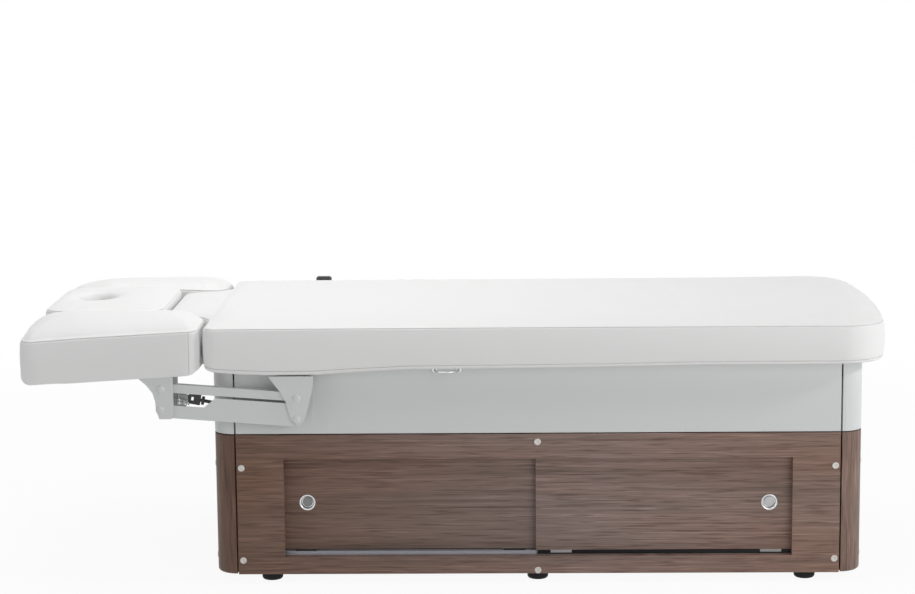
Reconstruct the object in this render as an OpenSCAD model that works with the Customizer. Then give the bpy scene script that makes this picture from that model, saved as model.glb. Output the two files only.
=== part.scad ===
// Spa bed: an upholstered lying surface on a wooden storage cabinet. Two lifting
// columns inside the cabinet raise the white collar and everything above it.
// X runs from head to foot, the front with the sliding doors faces -Y, Z is up.

/* [Overall] */
// Length from the outer end of the head pads to the foot of the mattress
overall_l = 2026; // [1990:2:2060]
// Width of the lying surface
bed_w = 750; // [740:2:780]
// How far the mattress reaches past the cabinet at the foot
foot_overhang = 62; // [40:1:80]
// How far the head pads reach past the cabinet
head_reach = 444; // [420:2:470]
// How far the lying surface reaches past the cabinet at each side
side_overhang = 45; // [41:1:55]

/* [Cabinet] */
// Height of the wooden panels' upper edge above the floor
cabinet_h = 358; // [354:1:366]
// Thickness of the wooden panels
panel_t = 18; // [15:1:20]
// Radius of the rounded corner posts
corner_r = 50; // [46:1:56]
// Width of the shadow gap between a panel and a post
shadow_gap = 3.7; // [2:0.1:5]
// Distance from the cabinet's end to the door opening
opening_inset = 164; // [160:1:180]
// Height of the front panel above the door opening
opening_drop = 59; // [56:1:70]
// Thickness of the inner boards
board_t = 10; // [8:1:12]

/* [Feet] */
// Height of a rubber foot
foot_h = 22; // [18:1:26]
// Diameter of a rubber foot
foot_d = 50; // [40:1:56]
// Distance from the cabinet's end to an outer foot
foot_end = 129; // [120:1:160]
// Distance from the cabinet's face to a foot's axis
foot_inset = 45; // [36:1:60]
// Diameter of a foot's stud
stud_d = 10; // [8:1:12]

/* [Base frame] */
// Width of the frame tubes
tube_w = 40; // [36:1:44]
// Height of the frame tubes of the base
tube_h = 16; // [14:1:18]
// Wall of the frame tubes
tube_wall = 2; // [1.5:0.5:3]
// Distance from the mid-plane to the axis of a base rail
base_rail_y = 75; // [60:1:100]

/* [Doors] */
// Thickness of a sliding door
door_t = 12; // [10:1:13]
// Clear gap between the doors and beside them
door_gap = 3; // [2.5:0.1:4]
// How far the two doors overlap in the middle
door_overlap = 10; // [8:1:30]
// Diameter of the flange of a finger pull
pull_d = 37.5; // [34:0.5:42]
// Depth of the hollow of a finger pull
pull_depth = 9; // [7:0.5:9]
// Distance from the end of the opening to a finger pull
pull_inset = 52; // [40:1:96]
// Height of the finger pulls above the middle of the opening
pull_rise = 5.5; // [-30:0.5:30]
// Length of a door glide
glide_l = 50; // [30:1:70]

/* [Lifting columns] */
// Lift of the lying surface
lift_travel = 220; // [180:1:224]
// Distance from the cabinet's end to a column's axis
column_inset = 82; // [80:1:88]
// Width of a column's outer tube
column_w = 96; // [90:1:98]
// Wall of the column tubes
column_wall = 4; // [3:0.5:5]
// Running gap between the column tubes
column_gap = 0.6; // [0.3:0.1:0.9]
// Free height between a column's outer tube and the top frame
column_headroom = 47.7; // [40:0.1:70]
// Diameter of the actuator housing inside a column
actuator_d = 36; // [30:1:40]
// Diameter of the actuator's rod
lift_rod_d = 22; // [18:1:24]

/* [Collar] */
// Thickness of the collar panels
collar_t = 12; // [10:1:14]
// Dark joint between the collar and the wooden panels
collar_joint = 2.5; // [1.5:0.5:4]
// Wall of the telescopic sleeves behind the collar
sleeve_t = 4; // [3:0.5:4]
// Running gap between the two sleeves
sleeve_gap = 3; // [2:0.5:4]

/* [Top frame] */
// Height of the top frame's tubes
top_tube_h = 25; // [25:1:27]
// Distance from the mid-plane to the axis of a top rail
top_rail_y = 105; // [98:1:115]
// Thickness of the board under the mattress
top_board_t = 12; // [10:1:14]

/* [Mattress] */
// Height of the underside of the mattress above the floor
mattress_z = 526; // [522:1:534]
// Height of the mattress from its underside to the upper seam
mattress_t = 93; // [85:1:105]
// Rise of the mattress between its upper seams
mattress_crown = 12; // [6:1:20]
// How far the middle of a side is drawn in
side_draw = 4; // [2:1:8]
// Radius of the corners at the foot
foot_corner_r = 105; // [80:1:130]
// How far the foot end bows outwards
foot_bow = 16; // [8:1:24]
// Distance the head shoulders reach past the cabinet
shoulder_reach = 10; // [6:1:14]
// Radius of the shoulder corners
shoulder_r = 55; // [40:1:70]
// How far the tongue reaches past the shoulders
tongue_reach = 113; // [105:1:118]
// Width of the tongue
tongue_w = 350; // [340:1:356]
// Radius of the hollow corner beside the tongue
tongue_fillet_r = 60; // [50:1:64]

/* [Headrest] */
// Width of the headrest
headrest_w = 360; // [350:1:366]
// Height of the upper seam of the headrest above that of the mattress
headrest_lift = 13; // [8:1:20]
// Height of the headrest from its underside to its upper seam
headrest_t = 84; // [76:1:86]
// Gap between the headrest and its neighbours
headrest_gap = 10; // [9:0.5:12]
// Length of the face hole along the bed
face_l = 92; // [80:1:110]
// Width of the face hole across the bed
face_w = 124; // [110:1:140]
// Distance from the outer end of the headrest to the middle of the face hole
face_inset = 112; // [100:1:130]
// Diameter of the headrest's rods
head_rod_d = 14; // [12:1:16]
// How far the headrest pulls out
head_travel = 100; // [60:1:105]

/* [Arm pads] */
// Height of an arm pad from its underside to its upper seam
arm_t = 96; // [86:1:104]
// Gap between an arm pad and the mattress
arm_gap = 15; // [13:0.5:18]
// Height of the upper seam of the mattress over that of a pad, at the mattress
arm_step = 10; // [6:1:14]
// Drop of an arm pad per unit of its length
arm_slope = 0.062; // [0.04:0.002:0.08]
// Rise of an arm pad between its seams
arm_crown = 26; // [18:1:30]
// How much higher the inner seam of an arm pad lies
arm_inner_rise = 10; // [0:1:14]

/* [Arm brackets] */
// Length of an arm link between its pins
link_l = 317; // [305:1:322]
// Upward slope of the links at rest, in degrees
link_slope = 4.3; // [2:0.1:5]
// Distance between the upper and the lower link
link_pitch = 50; // [50:0.5:54]
// Height of the upper link
upper_link_h = 25; // [22:1:26]
// Thickness of the bracket plates and links
plate_t = 4; // [3:0.5:4.5]
// Diameter of the pins of an arm bracket
pin_d = 10; // [8:0.5:11]
// Diameter of a gas strut's cylinder
strut_d = 20; // [16:1:20]
// Diameter of a gas strut's rod
strut_rod_d = 8; // [6:0.5:10]

/* [Hand control] */
// Width of the hand control
handset_w = 40; // [36:1:46]
// Thickness of the hand control
handset_t = 22; // [20:1:24]
// Height of the hand control
handset_h = 126; // [110:1:130]
// Distance from the cabinet's head end to the hand control
handset_inset = 210; // [160:1:260]

/* [Hidden] */
$fn = 64;

// Common clearances
overrun = 1;
hole_gap = 1;
seat = 0.3;
run_fit = 0.05;
loose_fit = 0.1;
half = 1 / 2;
quarter_turn = 90;
half_turn = 180;
full_turn = 360;

// Places along the bed, measured from the middle of the cabinet
cabinet_x2 = (overall_l - foot_overhang - head_reach) * half;
bed_y2 = bed_w * half;
cabinet_y2 = bed_y2 - side_overhang;
foot_x = cabinet_x2 + foot_overhang;
head_x = -cabinet_x2 - head_reach;
foot_pitch = cabinet_x2 - foot_end;
opening_x = cabinet_x2 - opening_inset;
pull_x = opening_x - pull_inset;
column_x = cabinet_x2 - column_inset;
handset_x = cabinet_x2 - handset_inset;
shoulder_x = -cabinet_x2 - shoulder_reach;
tongue_x = shoulder_x - tongue_reach;
headrest_x2 = tongue_x - headrest_gap;
headrest_end_in = 8;
headrest_x1 = head_x + headrest_end_in;
arm_x2 = shoulder_x - arm_gap;
arm_y1 = headrest_w * half + headrest_gap;

// Levels of the base
cross_z = foot_h;
rail_z = cross_z + tube_h;
floor_z = rail_z + tube_h;
floor_top = floor_z + board_t;
opening_z2 = cabinet_h - opening_drop;
pull_z = (floor_top + opening_z2) * half + pull_rise;
lid_drop = 11;
lid_t = 16;
lid_top = cabinet_h - lid_drop;
lid_z = lid_top - lid_t;

// Levels of the top
board_z = mattress_z - seat - top_board_t;
crossbar_z = board_z - top_tube_h;
top_rail_z = crossbar_z - top_tube_h;
head_plate_t = 6;
head_plate_edge = 12;
head_plate_z = top_rail_z - head_plate_t;
collar_z = cabinet_h + collar_joint;
collar_top = mattress_z - seat;
sleeve_top = crossbar_z - 2 * seat;
seam_z = mattress_z + mattress_t;

// Corner battens: L-shaped uprights that tie the panels together
batten_w = 30;
batten_x1 = cabinet_x2 - corner_r - batten_w;
batten_y1 = cabinet_y2 - corner_r - batten_w;
panel_end_x = cabinet_x2 - corner_r - shadow_gap;
panel_end_y = cabinet_y2 - corner_r - shadow_gap;
inner_x = cabinet_x2 - panel_t - seat;
inner_y = cabinet_y2 - panel_t - seat;

// Cap screws of the panels
cap_d = 16;
cap_t = 2.5;
shank_d = 5;
shank_bite = 12;
shank_l = panel_t + shank_bite;
screw_x = cabinet_x2 - corner_r - batten_w * half;
screw_end_y = cabinet_y2 - corner_r - batten_w * half + shadow_gap;
screw_high_drop = 20;
screw_low_rise = 34;
screw_high_z = opening_z2 - screw_high_drop;
screw_low_z = foot_h + screw_low_rise;

// Doors and their tracks
partition_t = 16;
partition_gap = 8;
partition_x = opening_x + partition_gap;
door_x2 = partition_x - seat;
track_sheet = 1.4;
front_door_y = -inner_y + track_sheet + seat;
rear_door_y = front_door_y + door_t + door_gap;
track_base_t = 2;
track_rib_t = 2.5;
track_rib_h = 5;
door_lift = 9.5;
door_z = floor_top + door_lift;
door_top_cover = 19;
door_z2 = opening_z2 + door_top_cover;
top_track_depth = 25;
track_y2 = rear_door_y + door_t + seat + track_sheet;
pull_proud = 0.8;
pull_wall = 1.2;
pull_flange_w = 2;
pull_cup_d = pull_d - 2 * pull_flange_w;
glide_inset = 55;
glide_l2 = glide_l * half;

// Telescopic columns, largest tube first
column_pitch = column_wall + column_gap;
column_low = floor_top;
column_plate_t = 6;
column_plate_edge = 2;
column_plate_l = column_w + 2 * column_plate_edge;
column_plate_w = 230;
column_drop = 10;
column_h = head_plate_z - column_headroom - column_low - column_plate_t;
middle_z = column_low + column_plate_t + column_drop;
middle_top = column_low + column_plate_t + column_h + column_drop;
inner_z = middle_z + column_drop;
middle_w = column_w - 2 * column_pitch;
inner_w = middle_w - 2 * column_pitch;
actuator_z = column_low + column_plate_t;
actuator_h = column_h - column_plate_t;
actuator_wall = 4;
rod_engaged = 60;
lift_rod_z = actuator_z + actuator_h - lift_travel - rod_engaged;

// Telescopic sleeves, each following the cabinet's outline inwards
sleeve_in = panel_t + 2 * seat;
middle_sleeve_in = sleeve_in + sleeve_t + sleeve_gap;
sleeve_z = lid_top + seat;
middle_sleeve_z = sleeve_z + seat;
strap_w = 60;
strap_t = 5;

// Arm linkage: places are measured along the bed and upwards, on the front side
bracket_reach = 36;
bracket_y = cabinet_y2 + bracket_reach;
link_side_gap = 1.5;
strut_gap = 2;
link_y = bracket_y - plate_t - link_side_gap;
strut_y = link_y - plate_t - strut_gap - strut_d * half;
back_plate_t = 3;
pin_inset = 202;
pin_drop = 73.7;
pin_up_x = pin_inset - cabinet_x2;
pin_up_z = collar_top - pin_drop;
pin_lean = 1.5;
pin_low_x = pin_up_x - pin_lean;
pin_low_z = pin_up_z - link_pitch;
link_run = link_l * cos(link_slope);
link_rise = link_l * sin(link_slope);
carrier_x = pin_up_x - link_run;
carrier_z = pin_up_z + link_rise;
carrier_low_x = carrier_x - pin_lean;
carrier_low_z = carrier_z - link_pitch;
strut_eye_dx = 20;
strut_eye_dz = -17;
strut_x = carrier_x + strut_eye_dx;
strut_z = carrier_z + strut_eye_dz;
strut_dx = pin_low_x - strut_x;
strut_dz = pin_low_z - strut_z;
strut_l = norm([strut_dx, strut_dz]);
strut_tilt = atan2(-strut_dz, strut_dx);
link_tilt = atan2(link_rise, link_run);

// The whole bed is shifted so that the middle of its base is the origin
cradle_wall = 3;
cradle_gap = 1.5;
handset_y = bed_y2 + cradle_gap + cradle_wall + seat;
reach_y = handset_y + handset_t + seat + cradle_wall;
shift_x = -(head_x + foot_x) * half;
shift_y = -(reach_y - bed_y2) * half;

module placed() {
    translate([shift_x, shift_y, 0]) children();
}

// A box given by its low corner and its high corner
module block(low, high) {
    translate(low) cube(high - low);
}

module both_ends() {
    children();
    mirror([1, 0, 0]) children();
}

module both_sides() {
    children();
    mirror([0, 1, 0]) children();
}

module four_corners() {
    both_ends() both_sides() children();
}

// Flat outline with round corners
module rounded_plan(half_l, half_w, r) {
    square([2 * (half_l - r), 2 * half_w], center = true);
    square([2 * half_l, 2 * (half_w - r)], center = true);
    for (x = [-1, 1])
        for (y = [-1, 1])
            translate([x * (half_l - r), y * (half_w - r)]) circle(r = r);
}

// Upright wall that follows the cabinet's outline, a given distance inside it
module ring_wall(inset, wall, z1, z2) {
    translate([0, 0, z1]) linear_extrude(z2 - z1) difference() {
        rounded_plan(cabinet_x2 - inset, cabinet_y2 - inset, corner_r - inset);
        rounded_plan(cabinet_x2 - inset - wall, cabinet_y2 - inset - wall, corner_r - inset - wall);
    }
}

// Hollow rectangular tube along X, with its low corner and its high corner
module tube_along_x(low, high, wall) {
    difference() {
        block(low, high);
        block(low + [-overrun, wall, wall], high + [overrun, -wall, -wall]);
    }
}

module tube_along_y(low, high, wall) {
    difference() {
        block(low, high);
        block(low + [wall, -overrun, wall], high + [-wall, overrun, -wall]);
    }
}

// Square upright tube around an axis
module column_tube(w, wall, z1, z2) {
    difference() {
        block([-w * half, -w * half, z1], [w * half, w * half, z2]);
        block([wall - w * half, wall - w * half, z1 - overrun],
            [w * half - wall, w * half - wall, z2 + overrun]);
    }
}

module rod_x(d, x1, x2) {
    translate([x1, 0, 0]) rotate([0, quarter_turn, 0]) cylinder(d = d, h = x2 - x1);
}

// Rod along Y from the front backwards; y1 is nearer the front
module rod_y(d, y1, y2) {
    translate([0, y1, 0]) rotate([-quarter_turn, 0, 0]) cylinder(d = d, h = y2 - y1);
}

plug_l = 18;

// Steel base frame: rails lie on the crossbars, whose ends are plugged for the panel
// screws. The feet screw in from below.
module base_frame() {
    color("dimgray") placed() {
        for (x = [-foot_pitch, 0, foot_pitch])
            difference() {
                translate([x, 0, 0]) {
                    tube_along_y([-tube_w * half, -inner_y, cross_z],
                        [tube_w * half, inner_y, rail_z], tube_wall);
                    both_sides() block([-tube_w * half, -inner_y, cross_z],
                        [tube_w * half, plug_l - inner_y, rail_z]);
                }
                foot_sites() translate([0, 0, foot_h - overrun])
                    cylinder(d = stud_d + 2 * loose_fit, h = tube_wall + 2 * overrun);
                screw_sites() rod_y(shank_d + 2 * loose_fit, -overrun, shank_l + overrun);
            }
        for (y = [-base_rail_y, base_rail_y])
            translate([0, y, 0])
                tube_along_x([-inner_x + seat, -tube_w * half, rail_z],
                    [inner_x - seat, tube_w * half, floor_z], tube_wall);
    }
}

module foot_sites() {
    for (x = [-foot_pitch, 0, foot_pitch])
        both_sides() translate([x, foot_inset - cabinet_y2, 0]) children();
}

stud_in_foot = 12;
foot_chamfer = 3;

module foot_pads() {
    foot_r = foot_d * half;
    color([0.12, 0.12, 0.12]) placed() foot_sites() difference() {
        rotate_extrude() polygon([[0, 0], [foot_r - foot_chamfer, 0], [foot_r, foot_chamfer],
            [foot_r, foot_h - foot_chamfer], [foot_r - foot_chamfer, foot_h], [0, foot_h]]);
        translate([0, 0, foot_h - stud_in_foot])
            cylinder(d = stud_d + 2 * run_fit, h = stud_in_foot + overrun);
    }
}

module foot_studs() {
    color("silver") placed() foot_sites() translate([0, 0, foot_h - stud_in_foot])
        cylinder(d = stud_d, h = stud_in_foot + tube_h - tube_wall);
}

// Inner board with its corners cut out for the battens
module inner_board(z, t) {
    difference() {
        block([-inner_x, -inner_y, z], [inner_x, inner_y, z + t]);
        four_corners() block([batten_x1 - seat, batten_y1 - seat, z - overrun],
            [cabinet_x2, cabinet_y2, z + t + overrun]);
    }
}

module cabinet_floor() {
    color([0.9, 0.9, 0.88]) placed() inner_board(floor_z, board_t);
}

module cabinet_top() {
    column_hole = column_w * half + hole_gap;
    color([0.9, 0.9, 0.88]) placed() difference() {
        inner_board(lid_z, lid_t);
        both_ends() translate([column_x, 0, 0])
            block([-column_hole, -column_hole, lid_z - overrun],
                [column_hole, column_hole, lid_top + overrun]);
        screw_sites() rod_y(shank_d + 2 * loose_fit, -overrun, shank_l + overrun);
    }
}

module partitions() {
    color([0.9, 0.9, 0.88]) placed() both_ends()
        block([partition_x, -inner_y, floor_top], [partition_x + partition_t, inner_y, lid_z]);
}

module corner_battens() {
    color("tan") placed() difference() {
        four_corners() difference() {
            block([batten_x1, batten_y1, foot_h], [inner_x, inner_y, lid_top]);
            block([cabinet_x2 - corner_r - seat, cabinet_y2 - corner_r - seat, foot_h - overrun],
                [cabinet_x2, cabinet_y2, lid_top + overrun]);
        }
        screw_sites() rod_y(shank_d + 2 * run_fit, -overrun, shank_l + overrun);
    }
}

// Each site looks along +Y into the wood, from the panel's outer face
module face_screw_sites() {
    for (z = [screw_high_z, screw_low_z])
        both_ends() translate([screw_x, -cabinet_y2, z]) children();
    translate([0, -cabinet_y2, lid_z + lid_t * half]) children();
    translate([0, -cabinet_y2, cross_z + tube_h * half]) children();
}

module screw_sites() {
    both_sides() face_screw_sites() children();
    for (z = [screw_high_z, screw_low_z])
        four_corners() translate([-cabinet_x2, screw_end_y, z])
            rotate([0, 0, -quarter_turn]) children();
}

module panel_screws() {
    color([0.93, 0.91, 0.87]) placed() screw_sites() {
        rod_y(shank_d, 0, shank_l);
        rotate([quarter_turn, 0, 0]) rotate_extrude() polygon([[0, 0], [cap_d * half, 0],
            [cap_d * half, cap_t * half], [cap_d * half - cap_t * half, cap_t], [0, cap_t]]);
    }
}

module long_panel() {
    difference() {
        block([-panel_end_x, -cabinet_y2, foot_h], [panel_end_x, panel_t - cabinet_y2, cabinet_h]);
        screw_sites() rod_y(shank_d + 2 * loose_fit, -overrun, shank_l + overrun);
    }
}

module cabinet_front() {
    color([0.42, 0.33, 0.29]) placed() difference() {
        long_panel();
        block([-opening_x, -cabinet_y2 - overrun, floor_top],
            [opening_x, panel_t - cabinet_y2 + overrun, opening_z2]);
    }
}

inlet_w = 28;
inlet_h = 22;
inlet_inset = 280;
inlet_x = cabinet_x2 - inlet_inset;
inlet_z = floor_top + 30;

module cabinet_rear() {
    color([0.42, 0.33, 0.29]) placed() difference() {
        mirror([0, 1, 0]) long_panel();
        translate([inlet_x, 0, inlet_z])
            block([-inlet_w * half, cabinet_y2 - panel_t - overrun, -inlet_h * half],
                [inlet_w * half, cabinet_y2 + overrun, inlet_h * half]);
    }
}

module cabinet_ends() {
    color([0.42, 0.33, 0.29]) placed() difference() {
        both_ends() block([cabinet_x2 - panel_t, -panel_end_y, foot_h],
            [cabinet_x2, panel_end_y, cabinet_h]);
        screw_sites() rod_y(shank_d + 2 * loose_fit, -overrun, shank_l + overrun);
    }
}

// Quarter-round posts stand in the corners of the battens. Above the lid each one
// is only as thick as the panels, so that the sleeves pass inside it.
module cabinet_posts() {
    color([0.4, 0.31, 0.27]) placed() difference() {
        four_corners() intersection() {
            translate([cabinet_x2 - corner_r, cabinet_y2 - corner_r, foot_h])
                cylinder(r = corner_r, h = cabinet_h - foot_h);
            block([cabinet_x2 - corner_r, cabinet_y2 - corner_r, foot_h - overrun],
                [cabinet_x2 + overrun, cabinet_y2 + overrun, cabinet_h + overrun]);
        }
        translate([0, 0, lid_top]) linear_extrude(cabinet_h)
            rounded_plan(cabinet_x2 - panel_t, cabinet_y2 - panel_t, corner_r - panel_t);
    }
}

// Lower track: a plate with one rib for each door. Upper track: three fins.
module door_tracks() {
    rib_y = (door_t - track_rib_t) * half;
    color("silver") placed() {
        block([-door_x2, -inner_y, floor_top], [door_x2, track_y2, floor_top + track_base_t]);
        for (y = [front_door_y, rear_door_y])
            block([-door_x2, y + rib_y, floor_top],
                [door_x2, y + rib_y + track_rib_t, floor_top + track_base_t + track_rib_h]);
        block([-door_x2, -inner_y, lid_z - track_base_t], [door_x2, track_y2, lid_z]);
        for (span = [[-inner_y, front_door_y - seat],
                [front_door_y + door_t + seat, rear_door_y - seat],
                [rear_door_y + door_t + seat, track_y2]])
            block([-door_x2, span[0], lid_z - top_track_depth], [door_x2, span[1], lid_z]);
    }
}

// A door panel spans from its own end of the cabinet to just past the middle
module door_panel(y, side) {
    difference() {
        scale([side, 1, 1])
            block([-door_overlap * half, y, door_z], [door_x2, y + door_t, door_z2]);
        translate([side * pull_x, 0, pull_z])
            rod_y(pull_cup_d + 2 * loose_fit, y - overrun, y + door_t + overrun);
    }
}

// Round finger pull: a flanged cup let into the door
module finger_pull(y, side) {
    cup_r = pull_cup_d * half;
    flange_r = pull_d * half;
    translate([side * pull_x, y, pull_z]) rotate([-quarter_turn, 0, 0]) rotate_extrude()
        polygon([[0, pull_depth], [cup_r - pull_wall, pull_depth], [cup_r - pull_wall, 0],
            [cup_r - pull_wall * half, -pull_proud], [flange_r - pull_proud * half, -pull_proud],
            [flange_r, -pull_proud * half], [flange_r, 0], [cup_r, 0],
            [cup_r, pull_depth + pull_wall], [0, pull_depth + pull_wall]]);
}

// Two glide shoes under a door, each with a groove that runs on the track's rib
module door_glides(y, side) {
    groove_y = (door_t - track_rib_t) * half - seat;
    glide_y = 1;
    shoe_z = floor_top + track_base_t + seat;
    for (x = [glide_inset, door_x2 - glide_inset])
        difference() {
            translate([side * x, y, 0]) block([-glide_l2, glide_y, shoe_z],
                [glide_l2, door_t - glide_y, door_z]);
            translate([side * x, y, 0]) block([-glide_l2 - overrun, groove_y, shoe_z - overrun],
                [glide_l2 + overrun, door_t - groove_y,
                    floor_top + track_base_t + track_rib_h + seat]);
        }
}

module left_door() {
    color([0.42, 0.33, 0.29]) placed() door_panel(rear_door_y, -1);
}

module left_pull() {
    color("silver") placed() finger_pull(rear_door_y, -1);
}

module left_glides() {
    color("gainsboro") placed() door_glides(rear_door_y, -1);
}

module right_door() {
    color([0.42, 0.33, 0.29]) placed() door_panel(front_door_y, 1);
}

module right_pull() {
    color("silver") placed() finger_pull(front_door_y, 1);
}

module right_glides() {
    color("gainsboro") placed() door_glides(front_door_y, 1);
}

// Lifting columns: three square tubes, with an actuator inside
module column_outers() {
    color("darkgray") placed() both_ends() translate([column_x, 0, 0]) {
        column_tube(column_w, column_wall, column_low, column_low + column_plate_t + column_h);
        difference() {
            block([-column_plate_l * half, -column_plate_w * half, column_low],
                [column_plate_l * half, column_plate_w * half, column_low + column_plate_t]);
            for (y = [-1, 1])
                translate([0, y * (column_plate_w - tube_w) * half, column_low - overrun])
                    cylinder(d = stud_d, h = column_plate_t + 2 * overrun);
        }
    }
}

module lift_actuators() {
    color([0.2, 0.2, 0.22]) placed() both_ends() translate([column_x, 0, actuator_z]) difference() {
        cylinder(d = actuator_d, h = actuator_h);
        translate([0, 0, actuator_wall])
            cylinder(d = lift_rod_d + 2 * loose_fit, h = actuator_h);
    }
}

module column_middles() {
    color("gainsboro") placed() both_ends() translate([column_x, 0, 0])
        column_tube(middle_w, column_wall, middle_z, middle_top);
}

module column_inners() {
    head_plate_l = inner_w + 2 * head_plate_edge;
    head_plate_y = top_rail_y + tube_w * half;
    color("gainsboro") placed() both_ends() translate([column_x, 0, 0]) {
        column_tube(inner_w, column_wall, inner_z, head_plate_z);
        block([-head_plate_l * half, -head_plate_y, head_plate_z],
            [head_plate_l * half, head_plate_y, top_rail_z]);
    }
}

module lift_rods() {
    color("silver") placed() both_ends() translate([column_x, 0, lift_rod_z])
        cylinder(d = lift_rod_d, h = head_plate_z - lift_rod_z);
}

box_l = 80;
box_h = 60;
box_edge = 4;
box_gap = 7.5;
box_w = batten_y1 - column_plate_w * half - 2 * box_gap;

// Control box of the two columns, on the floor beside the foot column
module control_box() {
    color([0.2, 0.2, 0.22]) placed()
        translate([column_x, column_plate_w * half + box_gap, floor_top]) {
            block([-box_l * half, 0, 0], [box_l * half, box_w, box_h - box_edge]);
            block([box_edge - box_l * half, box_edge, 0],
                [box_l * half - box_edge, box_w - box_edge, box_h]);
        }
}

inlet_flange = 5;
inlet_flange_t = 2;
inlet_set_back = 2;
inlet_wall = 3;
inlet_pin_w = 2;
inlet_pin_h = 4;
inlet_pin_pitch = 7;

// Mains inlet with three pins in a recess, let into the rear panel
module mains_inlet() {
    body_w = inlet_w - 2 * seat;
    body_h = inlet_h - 2 * seat;
    depth = panel_t - inlet_set_back;
    color([0.1, 0.1, 0.1]) placed() translate([inlet_x, cabinet_y2, inlet_z]) {
        difference() {
            union() {
                block([-body_w * half, -depth, -body_h * half], [body_w * half, 0, body_h * half]);
                block([-inlet_w * half - inlet_flange, 0, -inlet_h * half - inlet_flange],
                    [inlet_w * half + inlet_flange, inlet_flange_t, inlet_h * half + inlet_flange]);
            }
            block([inlet_wall - body_w * half, inlet_wall - depth, inlet_wall - body_h * half],
                [body_w * half - inlet_wall, inlet_flange_t + overrun, body_h * half - inlet_wall]);
        }
        for (x = [-1, 0, 1])
            translate([x * inlet_pin_pitch, 0, -abs(x) * inlet_pin_w])
                block([-inlet_pin_w * half, inlet_wall * half - depth, -inlet_pin_h * half],
                    [inlet_pin_w * half, -inlet_wall, inlet_pin_h * half]);
    }
}

module fixed_sleeve() {
    color("white") placed() ring_wall(sleeve_in, sleeve_t, sleeve_z, sleeve_top);
}

// The middle sleeve hangs on straps that are fixed to the middle tubes
module middle_sleeve() {
    strap_x1 = column_x + middle_w * half + seat;
    strap_x2 = cabinet_x2 - middle_sleeve_in - sleeve_t * half;
    strap_z = middle_top - strap_t;
    color("white") placed() {
        ring_wall(middle_sleeve_in, sleeve_t, middle_sleeve_z, sleeve_top);
        both_ends() block([strap_x1, -strap_w * half, strap_z],
            [strap_x2, strap_w * half, strap_z + strap_t]);
    }
}

// Frame under the mattress board
module top_rails() {
    color("dimgray") placed() both_sides() translate([0, top_rail_y, 0])
        tube_along_x([-rail_end_x, -tube_w * half, top_rail_z],
            [rail_end_x, tube_w * half, crossbar_z], tube_wall);
}

rail_gap = 2;
rail_end_x = cabinet_x2 - middle_sleeve_in - sleeve_t - rail_gap;
socket_l = 188.4;
socket_end = rail_end_x - socket_l;
socket_clear = 44.7;
crossbar_shares = [-0.23, 0.23, 0.68, 0.95];

module top_crossbars() {
    bar_y = cabinet_y2 - collar_t - seat;
    crossbar_xs = concat([socket_clear - socket_end], crossbar_shares * rail_end_x);
    color("dimgray") placed() for (x = crossbar_xs)
        translate([x, 0, 0])
            tube_along_y([-tube_w * half, -bar_y, crossbar_z],
                [tube_w * half, bar_y, board_z], tube_wall);
}

tongue_board_edge = 25;
tongue_board_w = tongue_w - 2 * tongue_board_edge;
tongue_board_in = 18;

// Plywood board under the mattress, with a narrow part under the tongue
module mattress_board() {
    inset = collar_t + seat;
    color("burlywood") placed() translate([0, 0, board_z]) linear_extrude(top_board_t) {
        rounded_plan(cabinet_x2 - inset, cabinet_y2 - inset, corner_r - inset);
        translate([tongue_x + tongue_board_in, -tongue_board_w * half])
            square([-tongue_x - cabinet_x2 * half, tongue_board_w]);
    }
}

module collar_sides() {
    color("white") placed() both_sides() block([-panel_end_x, -cabinet_y2, collar_z],
        [panel_end_x, collar_t - cabinet_y2, collar_top]);
}

// The end panel at the head lets the tongue board and the two rods through
module collar_ends() {
    notch_y = tongue_board_w * half + seat;
    color("white") placed() difference() {
        both_ends() block([cabinet_x2 - collar_t, -panel_end_y, collar_z],
            [cabinet_x2, panel_end_y, collar_top]);
        block([-cabinet_x2 - overrun, -notch_y, board_z - seat],
            [collar_t - cabinet_x2 + overrun, notch_y, collar_top + overrun]);
        head_rod_sites()
            rod_x(head_rod_d + 2 * hole_gap, -cabinet_x2 - overrun, collar_t - cabinet_x2 + overrun);
    }
}

module collar_posts() {
    color("white") placed() four_corners() intersection() {
        difference() {
            translate([cabinet_x2 - corner_r, cabinet_y2 - corner_r, collar_z])
                cylinder(r = corner_r, h = collar_top - collar_z);
            translate([cabinet_x2 - corner_r, cabinet_y2 - corner_r, collar_z - overrun])
                cylinder(r = corner_r - collar_t, h = collar_top - collar_z + 2 * overrun);
        }
        block([cabinet_x2 - corner_r, cabinet_y2 - corner_r, collar_z - overrun],
            [cabinet_x2 + overrun, cabinet_y2 + overrun, collar_top + overrun]);
    }
}

// Upholstered forms. A cushion is a stack of rings: each ring is the outline moved
// inwards by an inset or shrunk towards a centre, at its own height.
function outward(p, q) = let (d = q - p) [d[1], -d[0]] / norm(d);

function inset_ring(points, inset) = let (n = len(points))
    [for (i = [0:n - 1])
        points[i] - inset * outward(points[(i + n - 1) % n], points[(i + 1) % n])];

function shrunk_ring(points, centre, share) = [for (p = points) centre + share * (p - centre)];

function arc(centre, r, a1, a2, steps) = [for (i = [0:steps])
    let (a = a1 + (a2 - a1) * i / steps) centre + r * [cos(a), sin(a)]];

// Points along a side that is drawn in between its ends, without the ends
function drawn_side(p, q, depth, steps) = let (n = outward(p, q))
    [for (i = [1:steps - 1])
        let (s = i / steps) p + s * (q - p) - 4 * depth * s * (1 - s) * n];

// Shares of a cushion's height and of its edge size that give its side a full, soft form
side_height_shares = [0, 0.04, 0.14, 0.3, 0.5, 0.75, 0.93, 1];
side_inset_shares = [1, 0.52, 0.16, 0.02, 0, 0.05, 0.16, 0.36];
crown_ring_shares = [0.97, 0.9, 0.76, 0.56, 0.34, 0.13];
base_ring_shares = [0.92, 0.5];

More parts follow.
